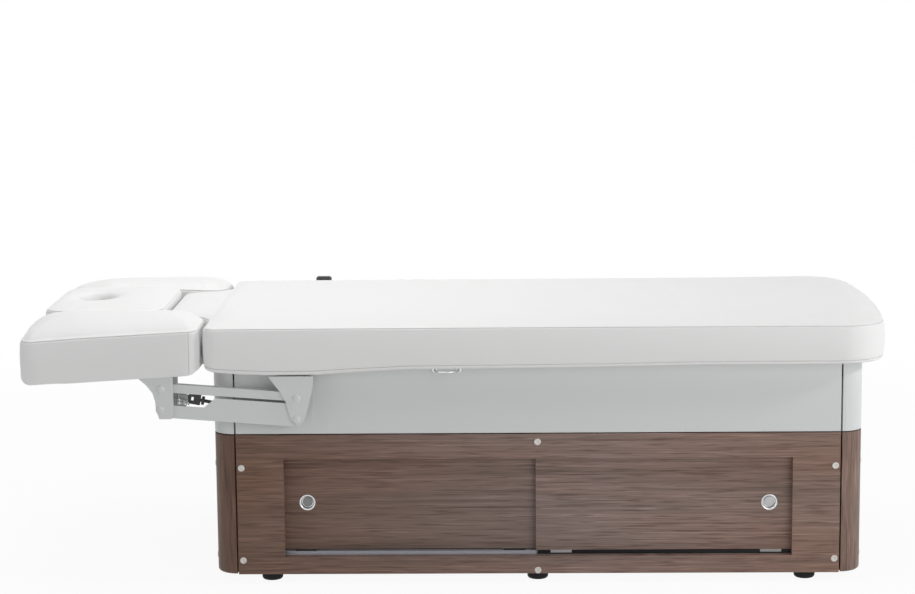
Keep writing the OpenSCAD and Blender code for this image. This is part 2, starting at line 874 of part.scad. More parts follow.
module closed_stack(rings, low_centre, high_centre) {
    n = len(rings[0]);
    m = len(rings);
    points = concat([for (ring = rings) each ring], [low_centre, high_centre]);
    faces = concat(
        [for (k = [0:m - 2]) for (i = [0:n - 1]) let (j = (i + 1) % n)
            each [[k * n + i, (k + 1) * n + i, (k + 1) * n + j],
                [k * n + i, (k + 1) * n + j, k * n + j]]],
        [for (i = [0:n - 1]) [m * n, i, (i + 1) % n]],
        [for (i = [0:n - 1]) [m * n + 1, (m - 1) * n + (i + 1) % n, (m - 1) * n + i]]);
    polyhedron(points, faces);
}

// Rings of a cushion, from the middle of its underside up to the middle of its top.
// slope tips it along X about x0, and rise lifts the side with the larger Y.
function tipped(p, z, x0, slope, y0, rise) =
    [p[0], p[1], z + (p[0] - x0) * slope + (p[1] - y0) * rise];

function cushion_rings(outline, centre, z, t, crown, edge, x0, slope, y0, rise) = concat(
    [for (k = [len(base_ring_shares) - 1:-1:0])
        [for (p = shrunk_ring(inset_ring(outline, edge), centre, base_ring_shares[k]))
            tipped(p, z, x0, slope, y0, 0)]],
    [for (k = [0:len(side_height_shares) - 1]) let (s = side_height_shares[k])
        [for (p = inset_ring(outline, edge * side_inset_shares[k]))
            tipped(p, z + s * t, x0, slope, y0, s * rise)]],
    [for (share = crown_ring_shares)
        [for (p = shrunk_ring(inset_ring(outline, edge * half), centre, share))
            tipped(p, z + t + crown * (1 - share * share), x0, slope, y0, rise)]]);

module cushion(outline, centre, z, t, crown, edge, x0, slope, y0, rise) {
    rings = cushion_rings(outline, centre, z, t, crown, edge, x0, slope, y0, rise);
    closed_stack(rings, tipped(centre, z, x0, slope, y0, 0),
        tipped(centre, z + t + crown, x0, slope, y0, rise));
}

mattress_edge = 26;
tongue_r = 30;
corner_steps = 6;
side_steps = 8;
bow_steps = 5;

// One half of the mattress outline, from the middle of the foot to the tongue's end
function mattress_half() = let (
        y1 = bed_y2 - foot_corner_r,
        x1 = foot_x - foot_bow - foot_corner_r,
        x2 = shoulder_x + shoulder_r,
        y2 = bed_y2 - shoulder_r,
        t2 = tongue_w * half,
        xf = shoulder_x - tongue_fillet_r,
        yf = t2 + tongue_fillet_r)
    concat(
        [for (i = [0:bow_steps - 1]) let (s = i / bow_steps) [foot_x - foot_bow * s * s, y1 * s]],
        arc([x1, y1], foot_corner_r, 0, quarter_turn, corner_steps),
        drawn_side([x1, bed_y2], [x2, bed_y2], side_draw, side_steps),
        arc([x2, y2], shoulder_r, quarter_turn, half_turn, corner_steps - 1),
        arc([xf, yf], tongue_fillet_r, 0, -quarter_turn, corner_steps - 2),
        arc([tongue_x + tongue_r, t2 - tongue_r], tongue_r, quarter_turn, half_turn,
            corner_steps * half));

function mirrored_half(points) = [for (i = [len(points) - 1:-1:1]) [points[i][0], -points[i][1]]];

module mattress() {
    half_outline = mattress_half();
    outline = concat(half_outline, mirrored_half(half_outline));
    color("whitesmoke") placed()
        cushion(outline, [0, 0], mattress_z, mattress_t, mattress_crown, mattress_edge,
            0, 0, 0, 0);
}

// Rounded rectangle with drawn-in sides; the radii belong to the corners in turn,
// starting at the corner with the largest X and Y
function pad_outline(x1, x2, y1, y2, radii, draw, steps) = concat(
    arc([x2 - radii[0], y2 - radii[0]], radii[0], 0, quarter_turn, corner_steps),
    drawn_side([x2 - radii[0], y2], [x1 + radii[1], y2], draw, steps),
    arc([x1 + radii[1], y2 - radii[1]], radii[1], quarter_turn, half_turn, corner_steps),
    drawn_side([x1, y2 - radii[1]], [x1, y1 + radii[2]], draw, steps - 2),
    arc([x1 + radii[2], y1 + radii[2]], radii[2], half_turn, 3 * quarter_turn, corner_steps),
    drawn_side([x1 + radii[2], y1], [x2 - radii[3], y1], draw, steps),
    arc([x2 - radii[3], y1 + radii[3]], radii[3], -quarter_turn, 0, corner_steps),
    drawn_side([x2, y1 + radii[3]], [x2, y2 - radii[0]], draw, steps - 2));

arm_edge = 24;
arm_outer_r = 34;
arm_inner_r = 52;
arm_hip_r = 62;
arm_draw = 3;
arm_steps = 5;
arm_z = seam_z - arm_step - arm_t;

// Arm pad on the front side
module arm_pad() {
    outline = pad_outline(head_x, arm_x2, -bed_y2, -arm_y1,
        [arm_hip_r, arm_inner_r, arm_outer_r, arm_outer_r], arm_draw, arm_steps);
    color("whitesmoke")
        cushion(outline, [(head_x + arm_x2) * half, -(bed_y2 + arm_y1) * half], arm_z, arm_t,
            arm_crown, arm_edge, arm_x2, arm_slope, -bed_y2, arm_inner_rise / (bed_y2 - arm_y1));
}

module near_arm_pad() {
    placed() arm_pad();
}

module far_arm_pad() {
    placed() mirror([0, 1, 0]) arm_pad();
}

headrest_edge = 26;
headrest_r = 45;
headrest_draw = 3;
headrest_steps = 6;
headrest_crown = 8;
face_lip = 22;
headrest_z = seam_z + headrest_lift - headrest_t;
face_x = headrest_x1 + face_inset;

// Ring round the face hole, in step with the outline
function hole_ring(outline, grow) = [for (p = outline)
    let (a = atan2(p[1] / face_w, (p[0] - face_x) / face_l))
    [face_x + (face_l * half + grow) * cos(a), (face_w * half + grow) * sin(a)]];

function between(a, b, share) = [for (i = [0:len(a) - 1]) a[i] + share * (b[i] - a[i])];

function at_height(ring, z) = [for (p = ring) [p[0], p[1], z]];

top_blend_shares = [0.12, 0.35, 0.65];
base_blend_share = 0.5;
lip_height_shares = [0.1, 0.35, 0.75];
lip_grow_shares = [0.55, 0.18, 0];

// Headrest cushion: a closed ring of rings round the face hole
module headrest() {
    outline = pad_outline(headrest_x1, headrest_x2, -headrest_w * half, headrest_w * half,
        [headrest_r, headrest_r, headrest_r, headrest_r], headrest_draw, headrest_steps);
    top = headrest_z + headrest_t;
    rim = hole_ring(outline, face_lip);
    upper = inset_ring(outline, headrest_edge * side_inset_shares[len(side_inset_shares) - 1]);
    lower = inset_ring(outline, headrest_edge);
    sides = [for (k = [1:len(side_height_shares) - 1])
        at_height(inset_ring(outline, headrest_edge * side_inset_shares[k]),
            headrest_z + side_height_shares[k] * headrest_t)];
    tops = [for (s = top_blend_shares)
        at_height(between(upper, rim, s), top + headrest_crown * sqrt(1 - pow(1 - s, 2)))];
    lips = [for (k = [0:2])
        at_height(hole_ring(outline, face_lip * lip_grow_shares[k]),
            top + headrest_crown * (1 - lip_height_shares[k])
                - lip_height_shares[k] * headrest_t * half)];
    well = at_height(hole_ring(outline, 0), headrest_z);
    rings = concat([at_height(lower, headrest_z)], sides, tops,
        [at_height(rim, top + headrest_crown)], lips, [well,
        at_height(between(hole_ring(outline, 0), lower, base_blend_share), headrest_z)]);
    n = len(outline);
    m = len(rings);
    faces = [for (k = [0:m - 1]) for (i = [0:n - 1]) let (j = (i + 1) % n, u = (k + 1) % m)
        each [[k * n + i, u * n + i, u * n + j], [k * n + i, u * n + j, k * n + j]]];
    color("whitesmoke") placed() polyhedron([for (ring = rings) each ring], faces);
}

// Headrest carriage: two rods joined by a yoke, whose upright tabs hold the tilt hinge
head_rod_z = board_z - top_tube_h * half;
socket_w = 24;
rod_past = 5;
rod_end = socket_end + rod_past;
yoke_w = 14;
yoke_h = 22;
yoke_gap = 3;
yoke_x = tongue_x - yoke_gap;
hinge_d = 8;
knuckle_d = 18;
knuckle_l = 24;
head_board_t = 10;
head_board_z = headrest_z - seat - head_board_t;
hinge_x = yoke_x - yoke_w - knuckle_d * half - seat;
hinge_z = head_board_z - knuckle_d * half - 2 * seat;
hinge_y = 60;
head_board_in = 22;

module head_rod_sites() {
    both_sides() translate([0, top_rail_y, head_rod_z]) children();
}

module rod_sockets() {
    socket_x1 = -rail_end_x;
    color("dimgray") placed() head_rod_sites() difference() {
        block([socket_x1, -socket_w * half, -top_tube_h * half],
            [-socket_end, socket_w * half, top_tube_h * half - seat]);
        rod_x(head_rod_d + 2 * run_fit, socket_x1 - overrun, overrun - socket_end);
    }
}

module headrest_rods() {
    yoke_y = top_rail_y + socket_w * half;
    color("silver") placed() {
        head_rod_sites() rod_x(head_rod_d, yoke_x - yoke_w * half, -rod_end);
        block([yoke_x - yoke_w, -yoke_y, head_rod_z - yoke_h * half],
            [yoke_x, yoke_y, head_rod_z + yoke_h * half]);
        both_sides() translate([hinge_x, hinge_y, hinge_z]) {
            rod_y(knuckle_d, 0, knuckle_l);
            block([0, 0, head_rod_z - yoke_h * half - hinge_z],
                [yoke_x - yoke_w - hinge_x + overrun, knuckle_l, knuckle_d * half * half]);
            rod_y(hinge_d, -knuckle_l - seat, seat);
        }
    }
}

// Board of the headrest with the two hinge eyes that turn on the yoke's pins
module headrest_board() {
    x1 = headrest_x1 + head_board_in;
    x2 = headrest_x2 - head_board_in * half;
    y2 = headrest_w * half - head_board_in;
    color("burlywood") placed() difference() {
        union() {
            block([x1, -y2, head_board_z], [x2, y2, head_board_z + head_board_t]);
            both_sides() translate([hinge_x, hinge_y - knuckle_l - seat, hinge_z]) {
                rod_y(knuckle_d, 0, knuckle_l);
                block([-knuckle_d * half, 0, 0],
                    [knuckle_d * half, knuckle_l, head_board_z - hinge_z + overrun]);
            }
        }
        translate([face_x, 0, head_board_z - overrun])
            cylinder(d = face_w, h = head_board_t + 2 * overrun);
        both_sides() translate([hinge_x, 0, hinge_z])
            rod_y(hinge_d + 2 * run_fit, hinge_y - 2 * knuckle_l, hinge_y + overrun);
    }
}

// Arm bracket, front side. The fixed plate carries both links; its channel
// reaches back to the collar.
module at_pin(x, z) {
    translate([x, 0, z]) children();
}

head_cap_d = 18;
head_cap_t = 4;
// Shares of a pin head's radius and height at the points of its dome
cap_dome_shares = [[0, 0], [1, 0], [1, 0.3], [0.8, 0.75], [0.4, 1], [0, 1]];

// Pin along Y with a domed head in front of the plate
module link_pin(back_y) {
    rod_y(pin_d, -bracket_y, -back_y);
    translate([0, -bracket_y, 0]) rotate([quarter_turn, 0, 0]) rotate_extrude()
        polygon([for (p = cap_dome_shares) [p[0] * head_cap_d * half, p[1] * head_cap_t]]);
}

module plate(points, y_front, t) {
    translate([0, t - y_front, 0]) rotate([quarter_turn, 0, 0]) linear_extrude(t) polygon(points);
}

// Slot between the two links, how far the upper link reaches below its pins, and the
// shape of the taller lower link
link_slot = 6;
upper_link_low = 8;
lower_link_low = 18;
lower_link_slim = 12;
notch_start = 100;
notch_end = 125;
link_end_r = 13;
link_flange_w = 18;
link_flange_t = 3;

// Turned frame of a link: u runs from the carrier's pin to the fixed pin
module along_link(x, z) {
    translate([x, 0, z]) rotate([0, link_tilt, 0]) children();
}

module link_holes() {
    for (u = [0, link_l])
        translate([u, 0, 0])
            rod_y(pin_d + 2 * run_fit, -link_y - overrun, plate_t + overrun - link_y);
}

module upper_link() {
    h = upper_link_h * half;
    color("white") along_link(carrier_x, carrier_z) difference() {
        union() {
            plate([[0, -upper_link_low], [link_l, -upper_link_low], [link_l, h], [0, h]],
                link_y, plate_t);
            for (u = [0, link_l])
                translate([u, 0, 0]) rod_y(upper_link_h, -link_y, plate_t - link_y);
            block([link_flange_w, -link_y, h - link_flange_t],
                [link_l - link_flange_w, link_flange_w - link_y, h]);
        }
        link_holes();
    }
}

module lower_link() {
    top = link_pitch - upper_link_low - link_slot;
    color("white") along_link(carrier_low_x, carrier_low_z) difference() {
        union() {
            plate([[0, -lower_link_low], [link_l, -lower_link_low], [link_l + link_end_r, 0],
                [link_l - link_end_r, top], [notch_end, top], [notch_start, lower_link_slim],
                [0, lower_link_slim]], link_y, plate_t);
            rod_y(2 * lower_link_slim, -link_y, plate_t - link_y);
        }
        link_holes();
    }
}

fixed_plate_drop = 68;
fixed_plate_rise = 52;
back_plate_y = cabinet_y2 + seat + back_plate_t;
fixed_web_t = 4;
fixed_web_x1 = -44;
fixed_web_x2 = 34;
fixed_plate_half = 66;

// Outline of the fixed plate round its upper pin: shares of its half width, and of its
// rise or drop
fixed_plate_shares = [[-1, 1], [-0.58, 0.29], [-0.39, -0.13], [-0.24, -0.68], [0.06, -1],
    [0.27, -0.74], [0.39, -0.32], [0.55, 0.38], [0.58, 1]];

function fixed_outline() = [for (p = fixed_plate_shares)
    [p[0] * fixed_plate_half, p[1] * (p[1] > 0 ? fixed_plate_rise : fixed_plate_drop)]];

module arm_bracket() {
    color("white") {
        at_pin(pin_up_x, pin_up_z) {
            plate(fixed_outline(), bracket_y, plate_t);
            link_pin(back_plate_y);
            block([fixed_web_x1, plate_t - bracket_y - seat, fixed_plate_rise - fixed_web_t],
                [fixed_web_x2, -back_plate_y + back_plate_t, fixed_plate_rise]);
            block([fixed_web_x1, -back_plate_y, -fixed_plate_drop],
                [fixed_web_x2, back_plate_t - back_plate_y, fixed_plate_rise]);
        }
        at_pin(pin_low_x, pin_low_z) link_pin(back_plate_y);
    }
}

carrier_top_gap = 2;
carrier_right = 36;
carrier_front_right = 29;
carrier_left = 53;
carrier_foot = 71;
inner_plate_t = 3;
strut_back_gap = 1;
inner_plate_y = strut_y - strut_d * half - strut_back_gap;
pad_plate_t = 3;
pad_plate_end = 100;
pad_plate_in = 45;
pad_plate_w = bed_y2 - arm_y1 - pad_plate_in;
strut_pin_step = 1;
strut_pin_d = pin_d - 2 * strut_pin_step;
strut_pin_proud = 1;

// Points down the carrier's left edge and along its foot, as shares of its reach to the
// left and below the upper pin, and the share at which its right edge starts
carrier_shares = [[-0.64, 0.14], [-0.36, -0.13], [-0.25, -0.42], [-0.23, -0.68],
    [-0.09, -1], [0.45, -1]];
carrier_step = 0.79;

// Underside of the arm pad above a place along the bed
function pad_base(x) = arm_z + (x - arm_x2) * arm_slope;

function carrier_outline(reach) = let (
        x1 = carrier_x - carrier_left,
        x2 = carrier_x + reach,
        top1 = pad_base(x1) - carrier_top_gap - carrier_z,
        top2 = pad_base(x2) - carrier_top_gap - carrier_z)
    concat([[-carrier_left, top1]],
        [for (p = carrier_shares) [p[0] * carrier_left, p[1] * carrier_foot]],
        [[reach, -carrier_step * carrier_foot], [reach, top2]]);

// The carrier hangs on both links and has a broad plate under the arm pad
module arm_carrier() {
    x1 = head_x + pad_plate_end;
    x2 = carrier_x + carrier_right;
    top1 = pad_base(x1) - seat;
    top2 = pad_base(x2) - seat;
    color("white") {
        at_pin(carrier_x, carrier_z) {
            plate(carrier_outline(carrier_front_right), bracket_y, plate_t);
            plate(carrier_outline(carrier_right), inner_plate_y, inner_plate_t);
            link_pin(inner_plate_y);
            translate([strut_eye_dx, 0, strut_eye_dz])
                rod_y(strut_pin_d, eye_back - eye_w * half - strut_pin_proud - strut_y,
                    overrun - inner_plate_y);
        }
        at_pin(carrier_low_x, carrier_low_z) difference() {
            link_pin(inner_plate_y);
            difference() {
                rod_y(pin_d + overrun, -link_y, plate_t - link_y);
                rod_y(pin_d - 2 * link_play, -link_y - overrun, plate_t - link_y + overrun);
            }
        }
        plate([[x1, top1 - pad_plate_t], [x2, top2 - pad_plate_t], [x2, top2], [x1, top1]],
            bracket_y - plate_t, pad_plate_w);
    }
}

// The lower link's joint with the carrier has a little play
link_play = 0.25;

eye_d = 20;
eye_w = 12;
eye_back = 2;
strut_play = 1;
cylinder_start = 14;
cylinder_end = 150;
cylinder_bore_start = 96;
rod_start = 126;
head_start = 71;
head_end = 43;
head_h = 24;
head_w = 9;
neck_h = 12;
head_slot_edge = 1;
nut_d = 20.5;
nut_t = 6;
nut_gap = 3;
lever_x = 31;
lever_z = 15;
lever_d = 22;
lever_t = 5;
lever_pin_d = 5;
lever_rod_d = 4;
lever_rod_l = 34;
hook_r = 8;
lever_hole_d = 4;
lever_hole_r = 6.5;
lever_front = strut_d * half;

// Frame of the gas strut: X runs from the fixed pin to the carrier's strut pin
module along_strut() {
    translate([pin_low_x, -strut_y, pin_low_z]) rotate([0, half_turn + strut_tilt, 0]) children();
}

module strut_cylinder() {
    color([0.1, 0.1, 0.1]) along_strut() {
        difference() {
            union() {
                rod_x(strut_d, cylinder_start, cylinder_end);
                rod_y(eye_d, eye_back - eye_w * half, eye_back + eye_w * half);
                block([0, eye_back - eye_w * half, -neck_h * half],
                    [cylinder_start + overrun, eye_back + eye_w * half, neck_h * half]);
            }
            rod_y(pin_d + 2 * run_fit, -strut_d, strut_d);
            rod_x(strut_rod_d + 2 * run_fit, cylinder_bore_start, cylinder_end + overrun);
        }
    }
}

// Rod of the strut with its lock nut and release head
module strut_rod() {
    lever_at = strut_l - lever_x;
    color([0.12, 0.12, 0.12]) along_strut() {
        rod_x(strut_rod_d, rod_start, strut_l - head_start + overrun);
        rod_x(nut_d, strut_l - head_start - nut_gap - nut_t, strut_l - head_start - nut_gap);
        translate([strut_l - head_start, 0, 0]) difference() {
            block([0, -head_w * half, -head_h * half],
                [head_start - head_end, head_w * half, head_h * half]);
            block([head_start - head_end - eye_w, -head_w, head_slot_edge - neck_h * half],
                [head_start - head_end - eye_w * half, head_w, neck_h * half - head_slot_edge]);
        }
        difference() {
            union() {
                block([strut_l - head_end - overrun, eye_back - eye_w * half, -neck_h * half],
                    [strut_l, eye_back + eye_w * half, neck_h * half]);
                translate([strut_l, 0, 0])
                    rod_y(eye_d, eye_back - eye_w * half, eye_back + eye_w * half);
                translate([lever_at, 0, 0]) block([-lever_pin_d, eye_back - eye_w * half, 0],
                    [lever_pin_d, eye_back, lever_z + lever_pin_d]);
            }
            translate([strut_l, 0, 0]) rod_y(strut_pin_d + 2 * strut_play, -strut_d, strut_d);
        }
        translate([lever_at, 0, lever_z]) rod_y(lever_pin_d, -lever_front, eye_back);
    }
}

// Release lever: a pierced disc on a pin, with an upright arm and a hooked tail
module release_lever() {
    color([0.08, 0.08, 0.08]) along_strut() translate([strut_l - lever_x, 0, lever_z]) {
        difference() {
            rod_y(lever_d, -lever_front, lever_t - lever_front);
            rod_y(lever_pin_d + 2 * run_fit, -lever_front - overrun, lever_t - lever_front + overrun);
            for (a = [0:quarter_turn:full_turn - 1])
                translate([lever_hole_r * cos(a), 0, lever_hole_r * sin(a)])
                    rod_y(lever_hole_d, -lever_front - overrun, lever_t - lever_front + overrun);
        }
        translate([lever_d * half, lever_t * half - lever_front, lever_rod_d])
            mirror([0, 0, 1]) cylinder(d = lever_rod_d, h = lever_rod_l);
        translate([-lever_d * half, lever_t * half - lever_front, 0])
            rotate([quarter_turn, 0, 0]) translate([lever_rod_d, 0, 0])
                rotate([0, 0, half_turn]) rotate_extrude(angle = quarter_turn)
                    translate([hook_r, 0]) circle(d = lever_rod_d);
    }
}

module far_side() {
    placed() mirror([0, 1, 0]) children();
}

module near_bracket() {
    placed() arm_bracket();
}

module near_upper_link() {
    placed() upper_link();
}

module near_lower_link() {
    placed() lower_link();
}

module near_carrier() {
    placed() arm_carrier();
}

module near_strut_cylinder() {
    placed() strut_cylinder();
}

module near_strut_rod() {
    placed() strut_rod();
}

module near_release_lever() {
    placed() release_lever();
}

module far_bracket() {
    far_side() arm_bracket();
}

module far_upper_link() {
    far_side() upper_link();
}

module far_lower_link() {
    far_side() lower_link();
}

module far_carrier() {
    far_side() arm_carrier();
}

module far_strut_cylinder() {
    far_side() strut_cylinder();
}

module far_strut_rod() {
    far_side() strut_rod();
}

module far_release_lever() {
    far_side() release_lever();
}

loop_share = 0.2763;
loop_x = -loop_share * cabinet_x2;
loop_w = 56;
loop_wire_d = 5;
loop_leg = 7;
loop_drop = 14;
loop_flange_d = 13;
loop_flange_t = 2;

// Chrome wire loop on the collar, under the edge of the mattress
module wire_loop() {
    color("silver") placed() translate([loop_x, -cabinet_y2, collar_top - loop_drop]) {
        for (x = [-1, 1])
            translate([x * loop_w * half, 0, 0]) {
                rod_y(loop_wire_d, -loop_leg, 0);
                rod_y(loop_flange_d, -loop_flange_t, 0);
            }
        translate([0, -loop_leg, 0]) rotate([0, 0, half_turn])
            rotate_extrude(angle = half_turn) translate([loop_w * half, 0])
                circle(d = loop_wire_d);
    }
}

cradle_z = 496;
cradle_h = 44;
cradle_floor = 4;
cradle_arm_w = 24;
cradle_arm_x = 48;
cradle_rib_h = 20;

// Cradle that holds the hand control beside the mattress. Its arm reaches back to the
// collar beside the arm bracket.
module handset_cradle() {
    inner_w2 = handset_w * half + seat;
    color([0.25, 0.25, 0.27]) placed() translate([-handset_x, 0, cradle_z]) {
        translate([cradle_arm_x, 0, 0]) block([-cradle_arm_w * half, cabinet_y2 + seat, 0],
            [cradle_arm_w * half, bed_y2 + cradle_gap + cradle_wall, cradle_floor]);
        block([inner_w2, bed_y2 + cradle_gap, 0], [cradle_arm_x + cradle_arm_w * half,
            bed_y2 + cradle_gap + cradle_wall, cradle_rib_h]);
        difference() {
            block([-inner_w2 - cradle_wall, bed_y2 + cradle_gap, 0],
                [inner_w2 + cradle_wall, reach_y, cradle_h]);
            block([-inner_w2, handset_y - seat, cradle_floor],
                [inner_w2, reach_y - cradle_wall, cradle_h + overrun]);
        }
    }
}

handset_r = 6;
button_d = 13;
button_pocket = 4;
button_seat = 2.2;
button_proud = 1.2;
up_button_z = 102;
down_button_z = 80;

module button_sites(z) {
    translate([-handset_x, handset_y + handset_t, cradle_z + cradle_floor + seat + z]) children();
}

module hand_control() {
    half_w = handset_w * half;
    half_t = handset_t * half;
    color([0.22, 0.22, 0.24]) placed() difference() {
        translate([-handset_x, handset_y + half_t, cradle_z + cradle_floor + seat]) {
            linear_extrude(handset_h - handset_r * half) rounded_plan(half_w, half_t, handset_r);
            linear_extrude(handset_h)
                rounded_plan(half_w - handset_r * half, half_t - handset_r * half, handset_r * half);
        }
        for (z = [up_button_z, down_button_z])
            button_sites(z) rod_y(button_d + 2 * loose_fit, -button_pocket, overrun);
    }
}

module up_button() {
    color("silver") placed() button_sites(up_button_z) rod_y(button_d, -button_seat, button_proud);
}

module down_button() {
    color("silver") placed() button_sites(down_button_z) rod_y(button_d, -button_seat, button_proud);
}

base_frame();
foot_pads();
foot_studs();
cabinet_floor();
cabinet_front();
cabinet_rear();
cabinet_ends();
cabinet_posts();
corner_battens();
partitions();
cabinet_top();
door_tracks();
panel_screws();
column_outers();
lift_actuators();
control_box();
mains_inlet();
fixed_sleeve();
left_door();
left_pull();
left_glides();
right_door();
right_pull();
right_glides();
column_middles();
middle_sleeve();
column_inners();
lift_rods();
top_rails();
top_crossbars();
mattress_board();
collar_sides();
collar_ends();
collar_posts();
mattress();
wire_loop();
rod_sockets();
headrest_rods();
headrest_board();
headrest();
near_bracket();
near_upper_link();
near_lower_link();
near_carrier();
near_arm_pad();
near_strut_cylinder();
near_strut_rod();
near_release_lever();
far_bracket();
far_upper_link();
far_lower_link();
far_carrier();
far_arm_pad();
far_strut_cylinder();
far_strut_rod();
far_release_lever();
handset_cradle();
hand_control();
up_button();
down_button();
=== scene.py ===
# Spa bed on a wooden storage cabinet with two sliding doors. The head end is to the left,
# the doors face the camera. All places are in metres, with the floor at height 0.
import math

import bmesh
import bpy
import numpy as np
from mathutils import Matrix, Vector


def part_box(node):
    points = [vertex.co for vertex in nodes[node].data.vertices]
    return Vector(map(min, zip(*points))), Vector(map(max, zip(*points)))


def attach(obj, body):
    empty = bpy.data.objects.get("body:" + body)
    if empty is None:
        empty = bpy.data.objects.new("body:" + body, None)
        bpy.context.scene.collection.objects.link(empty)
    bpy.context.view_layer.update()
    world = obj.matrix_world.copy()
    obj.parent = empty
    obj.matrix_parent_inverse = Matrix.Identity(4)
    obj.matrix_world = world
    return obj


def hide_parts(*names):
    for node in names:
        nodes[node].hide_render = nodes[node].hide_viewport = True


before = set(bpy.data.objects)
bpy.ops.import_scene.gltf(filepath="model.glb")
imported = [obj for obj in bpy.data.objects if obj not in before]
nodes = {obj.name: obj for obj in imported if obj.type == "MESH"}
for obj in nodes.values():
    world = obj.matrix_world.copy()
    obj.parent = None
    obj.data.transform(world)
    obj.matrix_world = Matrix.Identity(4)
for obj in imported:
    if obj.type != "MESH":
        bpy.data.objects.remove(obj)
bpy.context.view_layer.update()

# ---- Studio -------------------------------------------------------------------------
# A white room with a pale floor. A broad soft light stands in front, one hangs over the
# bed, a smaller key light comes from the foot end, and the head end gets a weak fill.
scene = bpy.context.scene
scene.view_settings.view_transform = "Standard"

camera_place = (0.12588, -5.66485, 1.51847)
pitch, yaw, roll = 0.15584, -0.02225, -0.00972
look = np.array([math.sin(yaw) * math.cos(pitch), math.cos(yaw) * math.cos(pitch),
    -math.sin(pitch)])
level = np.array([math.cos(yaw), -math.sin(yaw), 0.0])
upright = np.cross(level, look)
right = math.cos(roll) * level + math.sin(roll) * upright
up = -math.sin(roll) * level + math.cos(roll) * upright
camera_data = bpy.data.cameras.new("front_view")
camera_data.lens = 91.55
camera_data.sensor_width = 36
camera = bpy.data.objects.new("front_view", camera_data)
camera.matrix_world = Matrix([[*row, place] for row, place in
    zip(np.column_stack([right, up, -look]), camera_place)] + [[0, 0, 0, 1]])
scene.collection.objects.link(camera)
scene.camera = camera


def soft_light(name, place, aim, wide, high, power):
    """Rectangular soft light at a place, turned so that it faces the point aim."""
    data = bpy.data.lights.new(name, "AREA")
    data.shape = "RECTANGLE"
    data.size, data.size_y, data.energy = wide, high, power
    lamp = bpy.data.objects.new(name, data)
    lamp.location = place
    lamp.rotation_euler = (Vector(aim) - Vector(place)).to_track_quat("-Z", "Y").to_euler()
    scene.collection.objects.link(lamp)


soft_light("front_softbox", (2.5, -3.1, 1.5), (0.7, 0.0, 0.4), 2.2, 1.8, 30)
soft_light("overhead_softbox", (-0.6, 0.1, 2.7), (-0.45, 0.0, 0.6), 2.4, 1.6, 34)
soft_light("foot_end_key", (3.77, -0.94, 2.3), (0.6, -0.2, 0.5), 0.4, 0.4, 44)
soft_light("head_end_fill", (-3.3, -1.9, 1.2), (-0.6, 0.0, 0.4), 1.8, 1.8, 11)

world = bpy.data.worlds.new("white_room")
world.use_nodes = True
scene.world = world
room_tree = world.node_tree


def seen_directly(tree):
    """Output that is 1 for rays from the camera and for those that glossy or clear
    surfaces send on, and 0 for the rays that carry soft light."""
    path = tree.nodes.new("ShaderNodeLightPath")
    total = path.outputs["Is Camera Ray"]
    for ray in ("Is Glossy Ray", "Is Transmission Ray"):
        larger = tree.nodes.new("ShaderNodeMath")
        larger.operation = "MAXIMUM"
        tree.links.new(total, larger.inputs[0])
        tree.links.new(path.outputs[ray], larger.inputs[1])
        total = larger.outputs[0]
    return total


def either(tree, share, soft, direct, output):
    """Surface that is the shader soft where share is 0 and direct where it is 1."""
    mix = tree.nodes.new("ShaderNodeMixShader")
    for end, socket in zip((share, soft.outputs[0], direct.outputs[0]), mix.inputs):
        tree.links.new(end, socket)
    tree.links.new(mix.outputs[0], tree.nodes[output].inputs["Surface"])


room_light = room_tree.nodes["Background"]
room_light.inputs["Color"].default_value = (1, 1, 1, 1)
room_light.inputs["Strength"].default_value = 0.26
room_wall = room_tree.nodes.new("ShaderNodeBackground")
room_wall.inputs["Color"].default_value = (1, 1, 1, 1)
room_wall.inputs["Strength"].default_value = 1.0
either(room_tree, seen_directly(room_tree), room_light, room_wall, "World Output")

floor_side, floor_back, floor_z = 30, 60, -0.0005
floor_mesh = bpy.data.meshes.new("floor")
floor_mesh.from_pydata([(-floor_side, -floor_side, floor_z), (floor_side, -floor_side, floor_z),
    (floor_side, floor_back, floor_z), (-floor_side, floor_back, floor_z)], [], [(0, 1, 2, 3)])
floor = bpy.data.objects.new("floor", floor_mesh)
scene.collection.objects.link(floor)
floor_finish = bpy.data.materials.new("pale_floor")
floor_finish.use_nodes = True
floor_tree = floor_finish.node_tree
floor_paint = floor_tree.nodes["Principled BSDF"]
floor_paint.inputs["Base Color"].default_value = (0.95, 0.95, 0.95, 1)
floor_paint.inputs["Roughness"].default_value = 0.9
floor_paint.inputs["Specular IOR Level"].default_value = 0.0
floor_white = floor_tree.nodes.new("ShaderNodeEmission")
floor_white.inputs["Color"].default_value = (1, 1, 1, 1)
floor_white.inputs["Strength"].default_value = 1.0
floor_place = floor_tree.nodes.new("ShaderNodeTexCoord")
floor_reach = floor_tree.nodes.new("ShaderNodeVectorMath")
floor_reach.operation = "LENGTH"
floor_tree.links.new(floor_place.outputs["Object"], floor_reach.inputs[0])
# The floor shows shadow near the bed and plain white far from it
floor_far = floor_tree.nodes.new("ShaderNodeMapRange")
for socket, value in (("From Min", 1.2), ("From Max", 3.2), ("To Min", 0.93), ("To Max", 1.0)):
    floor_far.inputs[socket].default_value = value
floor_tree.links.new(floor_reach.outputs["Value"], floor_far.inputs["Value"])
floor_share = floor_tree.nodes.new("ShaderNodeMath")
floor_share.operation = "MULTIPLY"
floor_tree.links.new(floor_far.outputs[0], floor_share.inputs[1])
floor_tree.links.new(seen_directly(floor_tree), floor_share.inputs[0])
either(floor_tree, floor_share.outputs[0], floor_paint, floor_white, "Material Output")
floor_mesh.materials.append(floor_finish)

# ---- Rubber feet --------------------------------------------------------------------
# Six round black rubber feet, moulded with a straight rim and a rounded lower edge.
# Each turns on a steel stud that is screwed up into the base frame.


